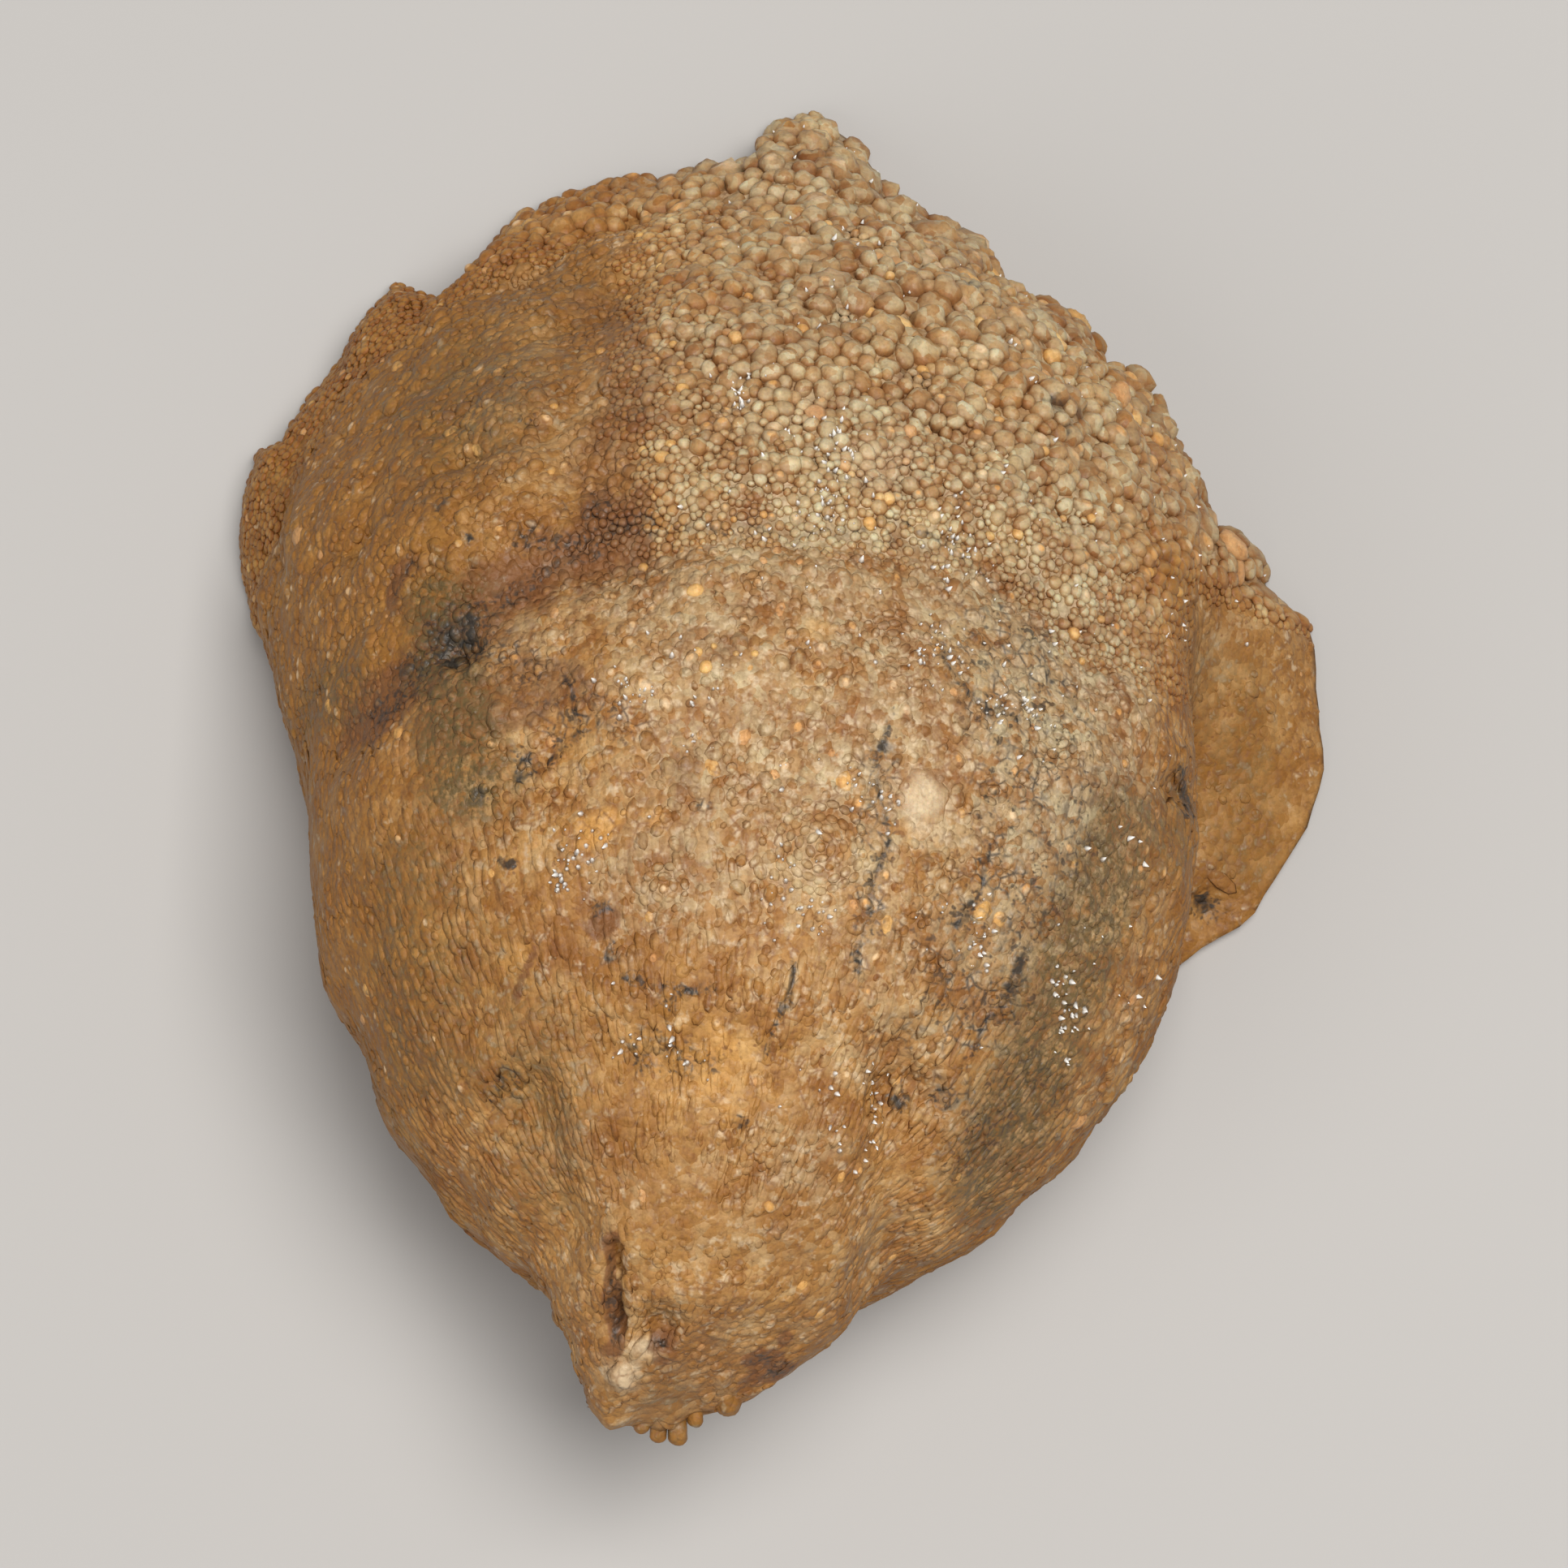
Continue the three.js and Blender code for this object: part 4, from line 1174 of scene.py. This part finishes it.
def rosette_grains(x, y, radius):
    """The grains of one rosette, as (x, y, direction, half length, half width, height, tint)."""
    grains = [(x, y, 0.0, ROSETTE_CORE, ROSETTE_CORE, ROSETTE_CORE, EYE_TINT if radius < 1 else 0.6)]
    for ring in np.arange(RING_STEP, radius + 0.05, RING_STEP):
        count = round(2 * math.pi * ring / RING_GRAIN)
        half = RING_OVERLAP * 2 * math.pi * ring / count
        start = random.random()
        for number in range(count):
            angle = 2 * math.pi * (number + start) / count
            reach = ring * (1 + 0.05 * random.standard_normal())
            place = x + reach * math.cos(angle), y + reach * math.sin(angle)
            tint = 0.25 + 0.4 * random.random()
            grains.append((*place, angle + math.pi / 2, half, RING_WIDTH, RING_HEIGHT, tint))
    return grains


def rosette_growth(crowd, material):
    """Rosettes of silica: rings of small grains round a bead."""
    grains = np.concatenate([rosette_grains(*rosette) for rosette in ROSETTES])
    sites = upper_sites(grains[:, :2])
    lengths = grains[:, 3:6] * varied(0.9, 0.2, (len(grains), 3))
    crowd.add(sites.points, lengths[:, 1] + 0.03)
    turn = grains[:, 2]
    ways = np.stack([np.cos(turn), np.sin(turn), 0 * turn], -1)
    sites.onward = unit(ways - sites.normals * np.sum(ways * sites.normals, -1, keepdims=True))
    unturned = np.zeros(len(sites))
    return grown("rosettes", dome(8, 3), sites, lengths, unturned, grains[:, 6], 0.25, material)


def bead_zone(radius):
    """Where beads of a radius find a place that suits them, clear of the ground."""
    suited = (wall_limit > 0.93 * radius) & (wall_limit < 2.1 * radius)
    return suited & (wall_points[..., 2] > radius + 0.1)


def bead_growths(crowd, material):
    """Beads of the last stage of growth."""
    sites, radii = packed(crowd, BEADS, bead_zone, BEAD_SPREAD, BEAD_GAP)
    flatness = np.interp(radii, *BEAD_FLATNESS) * varied(0.75, 0.5, len(radii))
    flatness = flatness * (1 - 0.45 * calmness(sites.points, sites.stages))
    lengths = bead_lengths(radii) * np.array([1.08, 1, 1])
    lengths[:, 2] = radii * flatness
    tints, turns = bead_tints(radii), any_turns(len(radii))
    return parted(BEAD_GROUPS, radii, sites, lengths, turns, tints, material, 0.25)


def granule_growths(crowd, material):
    """Low granules of the middle zone, and a few among the ribs."""
    unbeaded = wall_limit < BEADED
    zone = granule_zone(wall_points, wall_normals[..., 2]) * unbeaded
    behind = wall_points[..., 1] - line_height(GROWTH_LINE, wall_points[..., 0])
    crowded = np.maximum(smooth(noise(wall_points, 1.7), -0.9, 0.5), smooth(behind, -2.5, -0.5))
    zone = np.maximum(zone * crowded, BREAK_GRANULES * on_break(wall_points))
    strays = STRAYS * unbeaded * (wall_points[..., 2] > GROUND_GAP) * (1 - 0.8 * ear_share(wall_points))

    def zone_of(radius):
        return np.maximum(zone, strays * (radius < LARGEST_STRAY))

    sites, radii = packed(crowd, GRANULES, zone_of, GRANULE_SPREAD, GRANULE_GAP)
    low = varied(0.55, 0.35, len(radii)) * (1 - 0.3 * calmness(sites.points, sites.stages))
    lengths = bead_lengths(radii) * np.array([1.25, 0.95, 1])
    lengths[:, 2] = radii * low
    tints, turns = bead_tints(radii), jitter(1.6, len(radii))
    return parted(GRANULE_GROUPS, radii, sites, lengths, turns, tints, material, 0.4)


def rib_line(start, end, column, width):
    """Rows and columns of the grains along one rib, and the distance to the next rib at each."""
    first, last = int(start * ROWS_PER_STAGE), int(end * ROWS_PER_STAGE)
    line = wall_points[first:last + 1, int(column) % len(WALL_ANGLES)]
    travelled = np.concatenate([[0], np.cumsum(np.linalg.norm(np.diff(line, axis=0), axis=1))])
    stops = np.arange(GRAIN_STEP * random.random(), travelled[-1], GRAIN_STEP)
    stops = stops + jitter(0.8 * GRAIN_STEP, len(stops))
    rows = np.interp(stops, travelled, np.arange(first, last + 1))
    near = on_wall(wall_points, rows, 0 * rows + column)
    wander = 0.5 * noise(near, 2.0) + jitter(0.3, len(rows))
    aside = on_wall(wall_points, rows, 0 * rows + column + 1) - near
    return np.stack([rows, column + wander * width], -1), np.linalg.norm(aside, axis=1) * width


def rib_sites():
    """Strings of grains along the ribs, which split in two as the horn widens. Also gives the distance
    between the ribs at each grain."""
    ends = [start for start, _ in RIB_COUNTS[1:]] + [LAST - RIBLESS_EDGE]
    ribs = []
    for (start, count), end in zip(RIB_COUNTS, ends):
        width = len(WALL_ANGLES) / count
        ribs += [rib_line(start, end, (rib + 0.5) * width, width) for rib in range(count)]
    places, spacings = (np.concatenate(parts) for parts in zip(*ribs))
    return wall_sites(places[:, 0], places[:, 1]), spacings


def rib_room(sites):
    """How many of the grains at the sites stay: fewest under granules and beads, and on the ear."""
    points = sites.points
    room = 1 - granule_zone(points, sites.normals[:, 2]) * 0.95
    room = room * (bead_limit(points, sites.stages) < BEADED) * (points[:, 2] > 0.3) * ~on_break(points)
    room = room * (sites.stages > 0.25)
    return room * (0.75 + 0.4 * noise(points, 1.5)) * (1 - 0.9 * ear_share(points))


def rib_growths(crowd, material):
    """Long low grains that run into each other along the ribs."""
    sites, spacings = rib_sites()
    keep = random.random(len(sites)) < rib_room(sites)
    sites, spacings = sites.keep(keep), spacings[keep]
    half = np.clip(0.62 * spacings, *GRAIN_WIDTHS)
    free = crowd.free(sites.points, half, GRAIN_GAP)
    sites, half = sites.keep(free), half[free]
    count = len(sites)
    worn = 1 - 0.65 * calmness(sites.points, sites.stages)
    long = GRAIN_STEP * varied(0.5, 0.7, count) * (0.6 + 0.4 * smooth(sites.stages, 2.5, 4.5))
    wide = half * varied(0.8, 0.4, count)
    tall = GRAIN_HEIGHT * worn * varied(0.6, 0.8, count)
    turns = jitter(0.35, count)
    tints = np.clip(STONE_TINT + 0.1 * random.standard_normal(count), 0.03, 0.65)
    lengths = np.stack([long, wide, tall], -1)
    return parted(GRAIN_GROUPS, sites.normals[:, 2], sites, lengths, turns, tints, material, 0.3)


def finger_growth(material):
    """Rounded fingers on the lower lip of the snapped tip."""
    middles, frames = [], []
    for tip, radius in FINGER_TIPS:
        way = unit(np.array([0.12 * (tip[0] + 4.3), -1.0, -0.25]))
        side = unit(np.cross(way, [0, 0, 1.0]))
        middles.append(np.array(tip) - way * radius)
        frames.append(np.stack([side, np.cross(way, side), way]) * radius)
    shape, placed = dome(12, 5, FINGER_SHAFT), (np.array(middles), np.array(frames))
    return Growth("lip_fingers", shape, *placed, np.array(FINGER_TINTS), 0, material, 0.2)


def knob_growth(material):
    """Knobs along the upper lip of the snapped tip. The first few lie along the horn."""
    middles, frames = [], []
    along = unit(np.array(LIP_WAY))
    side = unit(np.cross(BREAK_OUTWARD, along))
    for number, (middle, reach, radius) in enumerate(LIP_KNOBS):
        lengthwise = number < LONG_KNOBS
        way = along if lengthwise else side
        other = np.cross(BREAK_OUTWARD, way)
        middles.append(np.array(middle) - BREAK_OUTWARD * (0.15 if lengthwise else 0.3))
        frames.append(np.stack([way * reach, other * radius, BREAK_OUTWARD * (radius + 0.1)]))
    tints = np.array([PALE_TINT] * LONG_KNOBS + [0.5] * (len(LIP_KNOBS) - LONG_KNOBS))
    shape, placed = dome(12, 6, 0.1), (np.array(middles), np.array(frames))
    return Growth("lip_knobs", shape, *placed, tints, 0.1, material, 0.2)


def quartz_growth(material):
    """Tiny quartz points that catch the light, in clusters. Their near-white colour is partly painted glint.
    """
    x, y = wall_points[..., 0], wall_points[..., 1]
    zone = 0.05 * granule_zone(wall_points, wall_normals[..., 2]) * smooth(x, -6, 0)
    for middle_x, middle_y in GLINTS:
        zone = np.maximum(zone, np.exp(-((x - middle_x) ** 2 + (y - middle_y) ** 2) / GLINT_REACH ** 2))
    zone = zone * (wall_normals[..., 2] > 0.2) * smooth(noise(wall_points, 0.8), -0.2, 0.4)
    sites = scattered_sites(QUARTZ_TRIES, zone)
    count = len(sites)
    sites.points = sites.points + sites.normals * varied(0.08, 0.12, count)[:, None]
    sites.normals = unit(sites.normals + jitter(0.9, (count, 3)))
    least, more = QUARTZ_SIZES
    lengths = (least + more * random.random(count) ** 2)[:, None] * np.array([1, 1, 1.2])
    tints, turns = np.full(count, 0.5), any_turns(count)
    return grown("quartz_points", quartz_point(), sites, lengths, turns, tints, 0, material, 0)


# ---- Materials ------------------------------------------------------------------------------------

# Scales of the broad, patchy, spotted and fine patterns and of cells and veins, in features to a metre,
# and of the streaks, in features to a rib.
PATTERN_SCALES = (170, 600, 2200, 6000)
CELL_SCALE, VEIN_SCALE = 2300, 1700
CELL_WANDER = 0.7  # how far the edges of the cells stray, as a share of a cell
STREAK_SCALE, STREAK_LENGTH = 1.1, 2  # a streak is so many millimetres long for each rib of its width
# Ramps as (value, colour). Those named shades multiply the colour that they are laid on.
GROUND = [(0.36, TAN), (0.62, GOLD)]
KERNEL = [(0.42, AMBER), (0.56, CREAM)]
BEAD_SHADES = [
    (0.0, (0.66, 0.56, 0.48)), (0.18, (0.9, 0.8, 0.7)), (0.36, (1, 1, 1)), (0.52, (1.06, 1.1, 1.14)),
    (0.7, (1.14, 1.2, 1.28)),
]
# Darker and browner towards a bead's base, as painted shade, and paler towards its top.
HEIGHT_SHADES_PAINTED = [
    (0.0, (0.84, 0.64, 0.46)), (0.3, (1.0, 0.94, 0.86)), (0.6, (1.07, 1.08, 1.06)), (0.9, (1.16, 1.2, 1.22)),
]
PATCH_SHADES = [
    (0.3, (0.71, 0.57, 0.49)), (0.44, (0.96, 0.92, 0.9)), (0.54, (1, 1, 1)), (0.68, (1.18, 1.18, 1.14)),
]
CELL_SHADES = [
    (0.0, (0.80, 0.68, 0.56)), (0.35, (1.0, 0.94, 0.88)), (0.65, (1, 1, 1)), (1.0, (1.14, 1.18, 1.22)),
]
STREAK_SHADES = [(0.3, (0.62, 0.48, 0.38)), (0.46, (1, 1, 1)), (0.66, (1.12, 1.12, 1.08))]
FINE_SHADES = [(0.3, (0.80, 0.77, 0.74)), (0.52, (1, 1, 1)), (0.72, (1.12, 1.11, 1.08))]
# How much of the stone each mark hides at most.
CREAM_COVER, OCHRE_COVER, RUST_COVER, SOOT_COVER, VEIN_COVER, SPECK_COVER = 0.8, 0.55, 0.75, 0.9, 0.75, 0.55
TINT_EDGE = (0.06, 0.04)  # how far below its own value a bead's tint begins to show, and is full
BUMP_STRENGTH, BUMP_HEIGHT = 0.8, 0.08 * MM
SHINE = 0.35
GLOW_DEPTH, GLOW_COLOUR = 0.6 * MM, (1.0, 0.5, 0.22)


class Recipe:
    """A material and the steps that make its colour. Each step gives the output of a new node."""

    def __init__(self, name):
        self.material = bpy.data.materials.new(name)
        self.material.use_nodes = True
        self.tree = self.material.node_tree
        self.tree.nodes.clear()

    def node(self, kind, inputs, **settings):
        """A new node. Its inputs are values or the outputs of other nodes."""
        made = self.tree.nodes.new(kind)
        for name, value in settings.items():
            setattr(made, name, value)
        for name, value in inputs.items():
            if isinstance(value, bpy.types.NodeSocket):
                self.tree.links.new(value, made.inputs[name])
            else:
                made.inputs[name].default_value = value
        return made

    def maths(self, operation, values, held):
        inputs = dict(enumerate(values))
        return self.node("ShaderNodeMath", inputs, operation=operation, use_clamp=held).outputs[0]

    def times(self, first, second):
        """The product, held between 0 and 1."""
        return self.maths("MULTIPLY", (first, second), True)

    def larger(self, first, second):
        """The larger of two values, held between 0 and 1."""
        return self.maths("MAXIMUM", (first, second), True)

    def added(self, value, more, share=1.0):
        """The value and a share of another."""
        return self.maths("MULTIPLY_ADD", (more, share, value), False)

    def step(self, value, low, high, first=0.0, last=1.0):
        """The first value below low and the last above high. Low may also be the greater of the two."""
        return self.node("ShaderNodeMapRange", {0: value, 1: low, 2: high, 3: first, 4: last}).outputs[0]

    def mixed(self, share, below, above, blend="MIX"):
        """One colour over another, where they are colours or the outputs of other nodes."""
        colours = {0: share}
        for socket, value in ((6, below), (7, above)):
            colours[socket] = value if isinstance(value, bpy.types.NodeSocket) else (*value, 1)
        return self.node("ShaderNodeMix", colours, data_type="RGBA", blend_type=blend).outputs[2]

    def ramp(self, value, stops):
        """A colour for each value."""
        node = self.node("ShaderNodeValToRGB", {"Fac": value})
        stripes = node.color_ramp.elements
        while len(stripes) < len(stops):
            stripes.new(0.5)
        for stripe, (place, colour) in zip(stripes, stops):
            stripe.position = place
            stripe.color = (*colour, 1)
        return node.outputs["Color"]

    def shaded(self, share, colour, value, stops):
        """The colour multiplied by a ramp of shades."""
        return self.mixed(share, colour, self.ramp(value, stops), "MULTIPLY")

    def parts(self, colour):
        """The red, green and blue of a colour."""
        node = self.node("ShaderNodeSeparateColor", {"Color": colour})
        return node.outputs[0], node.outputs[1], node.outputs[2]

    def attribute(self, name):
        """The red, green and blue of a colour attribute."""
        return self.parts(self.node("ShaderNodeAttribute", {}, attribute_name=name).outputs["Color"])

    def noise_field(self, place, scale):
        """A soft noise pattern, from 0 to 1."""
        inputs = {"Vector": place, "Scale": scale, "Detail": 2.0, "Roughness": 0.6}
        return self.node("ShaderNodeTexNoise", inputs).outputs["Fac"]

    def small_cells(self, place, scale, warp, feature="F1"):
        """The outputs of a pattern of small cells, whose edges wander."""
        inputs = {0: warp, 1: (CELL_WANDER / scale,) * 3, 2: place}
        warped = self.node("ShaderNodeVectorMath", inputs, operation="MULTIPLY_ADD").outputs[0]
        return self.node("ShaderNodeTexVoronoi", {"Vector": warped, "Scale": scale}, feature=feature).outputs


class Stone(Recipe):
    """Silica stained by clay and iron. Where veined is 1 it is stone in thin veins and specks, and where
    it is near 0 each bead has its own shade, paler towards its top and darker towards its base as painted
    shade."""

    def __init__(self, name, veined):
        super().__init__(name)
        self.veined = veined
        self.place = self.node("ShaderNodeTexCoord", {}).outputs["Object"]
        self.soot, self.rust, self.ochre = self.attribute("stain")
        self.grey, self.grime, self.cream = self.attribute("tone")
        self.rise, self.tint, self.openness = self.attribute("growth")
        rib, travelled, self.ribbed = self.attribute("flow")
        self.broad, self.patch, self.spot, self.fine = (
            self.noise_field(self.place, scale) for scale in PATTERN_SCALES
        )
        cells = self.small_cells(self.place, CELL_SCALE, self.spot)
        self.from_middle = cells["Distance"]
        self.shade = self.parts(cells["Color"])[0]
        # Streaks that run along the ribs.
        along = self.added(0.0, travelled, 1 / STREAK_LENGTH)
        stream = self.node("ShaderNodeCombineXYZ", {0: rib, 1: along}).outputs[0]
        self.streak = self.noise_field(stream, STREAK_SCALE)
        self.lively = self.added(0.1, self.grey, 0.7)  # cells differ most where the stone is grey

    def ground(self):
        """Brown, tan, gold and grey change over a few millimetres, and again from cell to cell."""
        wander = self.added(-0.35, self.patch, 0.7)
        wander = self.added(wander, self.added(-0.5, self.shade), self.lively)
        greyer = self.added(wander, self.grey)
        warm = self.mixed(self.step(greyer, 0, 0.3), OAK, self.ramp(self.broad, GROUND))
        return self.mixed(self.step(greyer, 0.25, 0.95), warm, GREY)

    def tinted(self, ground):
        """Each bead's own shade, paler at its top and darker at its base as painted shade, and then the
        colours that some have.
        """
        colour = self.shaded(1.0 - 0.5 * self.veined, ground, self.tint, BEAD_SHADES)
        colour = self.shaded(1.0 - self.veined, colour, self.rise, HEIGHT_SHADES_PAINTED)
        for own, stone_colour, cover in ((AMBER_TINT, AMBER, 0.7), (PEACH_TINT, PEACH, 0.6)):
            colour = self.mixed(self.times(self.tinted_at(own), cover), colour, stone_colour)
        eyed = self.tinted_at(EYE_TINT)
        core = self.times(eyed, self.step(self.rise, 0.72, 0.92))
        colour = self.mixed(self.times(self.added(eyed, core, -1.0), 0.9), colour, ground)
        return self.mixed(self.times(core, 0.7), colour, self.ramp(self.patch, KERNEL))

    def tinted_at(self, tint):
        """1 on beads with this tint or a higher one."""
        return self.step(self.tint, tint - TINT_EDGE[0], tint - TINT_EDGE[1])

    def patterned(self, colour):
        """Patches, cells, streaks along the ribs and pale specks."""
        blotchy = self.added(0.75 - 0.4 * self.veined, self.ribbed, 0.35 * self.veined)
        colour = self.shaded(blotchy, colour, self.patch, PATCH_SHADES)
        colour = self.shaded(self.lively, colour, self.shade, CELL_SHADES)
        colour = self.shaded(self.times(self.ribbed, 0.8), colour, self.streak, STREAK_SHADES)
        pale = self.added(self.spot, self.grey, 0.2)
        return self.mixed(self.step(pale, 0.61, 0.75, 0, SPECK_COVER * self.veined), colour, CREAM)

    def broken(self, strength, pattern, most):
        """A stain's strength, broken up by a noise pattern."""
        edge = self.added(self.added(-0.62, strength, 1.5), pattern)
        inside = self.times(edge, self.step(strength, 0, 0.1))
        return self.times(self.step(inside, 0.35, 0.85), most)

    def stained(self, colour):
        """Cream, ochre and rust, and the dirt that clings to the flanks in dark specks."""
        colour = self.mixed(self.times(self.cream, CREAM_COVER), colour, CREAM)
        colour = self.mixed(self.broken(self.ochre, self.patch, OCHRE_COVER), colour, YELLOW)
        mottle = self.added(self.added(-0.2, self.patch, 0.6), self.spot, 0.8)
        colour = self.mixed(self.broken(self.rust, mottle, RUST_COVER), colour, RUSTY)
        dust = self.added(self.times(self.fine, 0.5), self.spot, 0.6)
        dust = self.step(self.added(dust, self.grime, 0.3), 0.58, 0.78)
        return self.mixed(self.times(dust, self.step(self.grime, 0, 0.6)), colour, DIRT)

    def veins_and_crevice_shade(self, sooty):
        """Painted shade in the crevices between beads, and dark pits and thin veins round some of the cells.
        """
        border = self.small_cells(self.place, VEIN_SCALE, self.patch, "DISTANCE_TO_EDGE")["Distance"]
        vein = self.times(self.step(self.patch, 0.64, 0.44), self.step(self.spot, 0.35, 0.6))
        vein = self.times(vein, self.step(border, 0.13, 0.02))
        pit = self.step(self.added(self.spot, sooty, -0.06), 0.36, 0.27)
        veins = self.times(self.larger(vein, pit), VEIN_COVER * self.veined)
        # Where openness is low, between beads and at their bases, the stone is darkened as painted shade.
        crevice_shade_strength = self.step(self.patch, 0.6, 0.4, 0.3 - 0.1 * self.veined, 0.65 - 0.15 * self.veined)
        return self.larger(veins, self.times(self.added(1.0, self.openness, -1.0), crevice_shade_strength))

    def smoked(self, vein_and_shade):
        """Where thick soot covers the stone as well as its veins and the painted shade of its crevices, in a
        pattern that breaks it up.
        """
        smoke = self.added(self.soot, vein_and_shade, 0.25)
        smoke = self.added(smoke, self.patch, 0.8)
        smoke = self.added(smoke, self.spot, 1.2)
        return self.times(self.step(smoke, 1.5, 1.95), self.step(self.soot, 0.2, 0.5))

    def bumps(self):
        """Normals for the small cells and streaks, finer than the beads and ribs themselves."""
        bulge = self.times(self.fine, 0.3)
        bulge = self.added(bulge, self.from_middle, -1.6 * self.veined)
        bulge = self.added(bulge, self.spot, 0.8)
        bulge = self.added(bulge, self.times(self.streak, self.ribbed), 1.2)
        inputs = {"Strength": BUMP_STRENGTH, "Distance": BUMP_HEIGHT, "Height": bulge}
        return self.node("ShaderNodeBump", inputs).outputs[0]


def stone(name, dullness, glow, veined):
    """A stone, from its ground to its soot. Glow is the share of light that it lets in and out again."""
    recipe = Stone(name, veined)
    colour = recipe.stained(recipe.patterned(recipe.tinted(recipe.ground())))
    sooty = recipe.step(recipe.soot, 0.1, 0.4)
    vein_and_shade = recipe.veins_and_crevice_shade(sooty)
    # Veins, pits and the painted shade of the crevices, in brown, and in black where sooty.
    colour = recipe.mixed(vein_and_shade, colour, recipe.mixed(sooty, VEIN_AND_SHADE_BROWN, BLACK))
    smoke = recipe.smoked(vein_and_shade)
    colour = recipe.mixed(recipe.times(smoke, SOOT_COVER), colour, BLACK)
    colour = recipe.shaded(0.9, colour, recipe.fine, FINE_SHADES)
    roughness = recipe.step(recipe.added(recipe.spot, smoke), 0.3, 0.7, dullness + 0.12, dullness - 0.1)
    surface = recipe.node("ShaderNodeBsdfPrincipled", {
        "Base Color": colour, "Roughness": roughness, "Normal": recipe.bumps(), "Specular IOR Level": SHINE,
        "Subsurface Weight": glow, "Subsurface Scale": GLOW_DEPTH, "Subsurface Radius": GLOW_COLOUR,
    })
    recipe.node("ShaderNodeOutputMaterial", {"Surface": surface.outputs[0]})
    return recipe.material


def plain(name, colour, roughness, shine=0.5):
    """A material of one colour."""
    material = bpy.data.materials.new(name)
    material.use_nodes = True
    surface = material.node_tree.nodes["Principled BSDF"]
    surface.inputs["Base Color"].default_value = (*colour, 1)
    surface.inputs["Roughness"].default_value = roughness
    surface.inputs["Specular IOR Level"].default_value = shine
    return material


# ---- The coral ------------------------------------------------------------------------------------

def build_coral():
    """The skin, and then what grows on it, from what has a place of its own to what fills the gaps."""
    beaded = stone("chalcedony_beads", dullness=0.5, glow=0.25, veined=0.15)
    fine = stone("stained_silica", dullness=0.55, glow=0.0, veined=1.0)
    # The quartz points are near white partly as painted glint; their low roughness gives real glints as well.
    clear = plain("quartz_glint_white", (0.90, 0.88, 0.84), 0.08, shine=1.0)
    crowd = Crowd()
    coral_skin(fine)
    growths = [nodule_growth(crowd, beaded), rosette_growth(crowd, fine), amber_growth(crowd, beaded)]
    growths += bead_growths(crowd, beaded)
    growths += granule_growths(crowd, fine)
    growths += rib_growths(crowd, fine)
    growths += [finger_growth(fine), knob_growth(fine)]
    clear_crevices(growths)
    growths.append(quartz_growth(clear))
    for growth in growths:
        planted(growth)


# ---- Floor, light and camera ----------------------------------------------------------------------

# Lights as (name, azimuth and height in degrees, distance, size, power, colour).
LIGHTS = (
    ("key_light", 95, 80, 0.5, 0.24, 2.45, (1.0, 0.97, 0.93)),
    ("fill_light", 225, 45, 0.6, 0.4, 0.8, (1.0, 0.98, 0.95)),
)
FLOOR_SIZE = 3.0
FLOOR_COLOUR = (0.50, 0.49, 0.48)
WORLD_COLOUR, WORLD_STRENGTH = (0.8, 0.8, 0.8, 1), 0.27
TARGET = Vector((0.07, -1.6, 10.0)) * MM
CAMERA_HEIGHT, CAMERA_DISTANCE = math.radians(78), 254 * MM
CAMERA_LENS, SENSOR_WIDTH = 150, 36


def floor():
    """A wide plain floor."""
    shape = bmesh.new()
    bmesh.ops.create_grid(shape, x_segments=1, y_segments=1, size=FLOOR_SIZE)
    mesh = mesh_of("floor", shape)
    mesh.materials.append(plain("pale_floor", FLOOR_COLOUR, 0.8))
    shown("floor", mesh)


def soft_light(name, azimuth, height, distance, size, power, colour):
    """A square light that faces the coral from an azimuth and a height above the horizon, in degrees."""
    light = bpy.data.lights.new(name, "AREA")
    light.size, light.energy, light.color = size, power, colour
    piece = shown(name, light)
    turn, lift = math.radians(azimuth), math.radians(height)
    way = Vector((math.sin(turn) * math.cos(lift), math.cos(turn) * math.cos(lift), math.sin(lift)))
    piece.location = TARGET + way * distance
    piece.rotation_euler = way.to_track_quat("Z", "Y").to_euler()


def studio():
    """A large soft key light high up at the right, a weaker one at the front left, and a pale world."""
    floor()
    for light in LIGHTS:
        soft_light(*light)
    world = bpy.data.worlds.new("studio")
    world.use_nodes = True
    background = world.node_tree.nodes["Background"]
    background.inputs["Color"].default_value = WORLD_COLOUR
    background.inputs["Strength"].default_value = WORLD_STRENGTH
    bpy.context.scene.world = world
    bpy.context.scene.view_settings.view_transform = "Standard"


def camera():
    """A long lens that looks down on the coral."""
    lens = bpy.data.cameras.new("camera")
    lens.lens, lens.sensor_width = CAMERA_LENS, SENSOR_WIDTH
    lens.clip_start, lens.clip_end = 0.01, 10
    piece = shown("camera", lens)
    back = Vector((0, -math.cos(CAMERA_HEIGHT), math.sin(CAMERA_HEIGHT)))
    piece.location = TARGET + back * CAMERA_DISTANCE
    piece.rotation_euler = (-back).to_track_quat("-Z", "Y").to_euler()
    bpy.context.scene.camera = piece


build_coral()
studio()
camera()
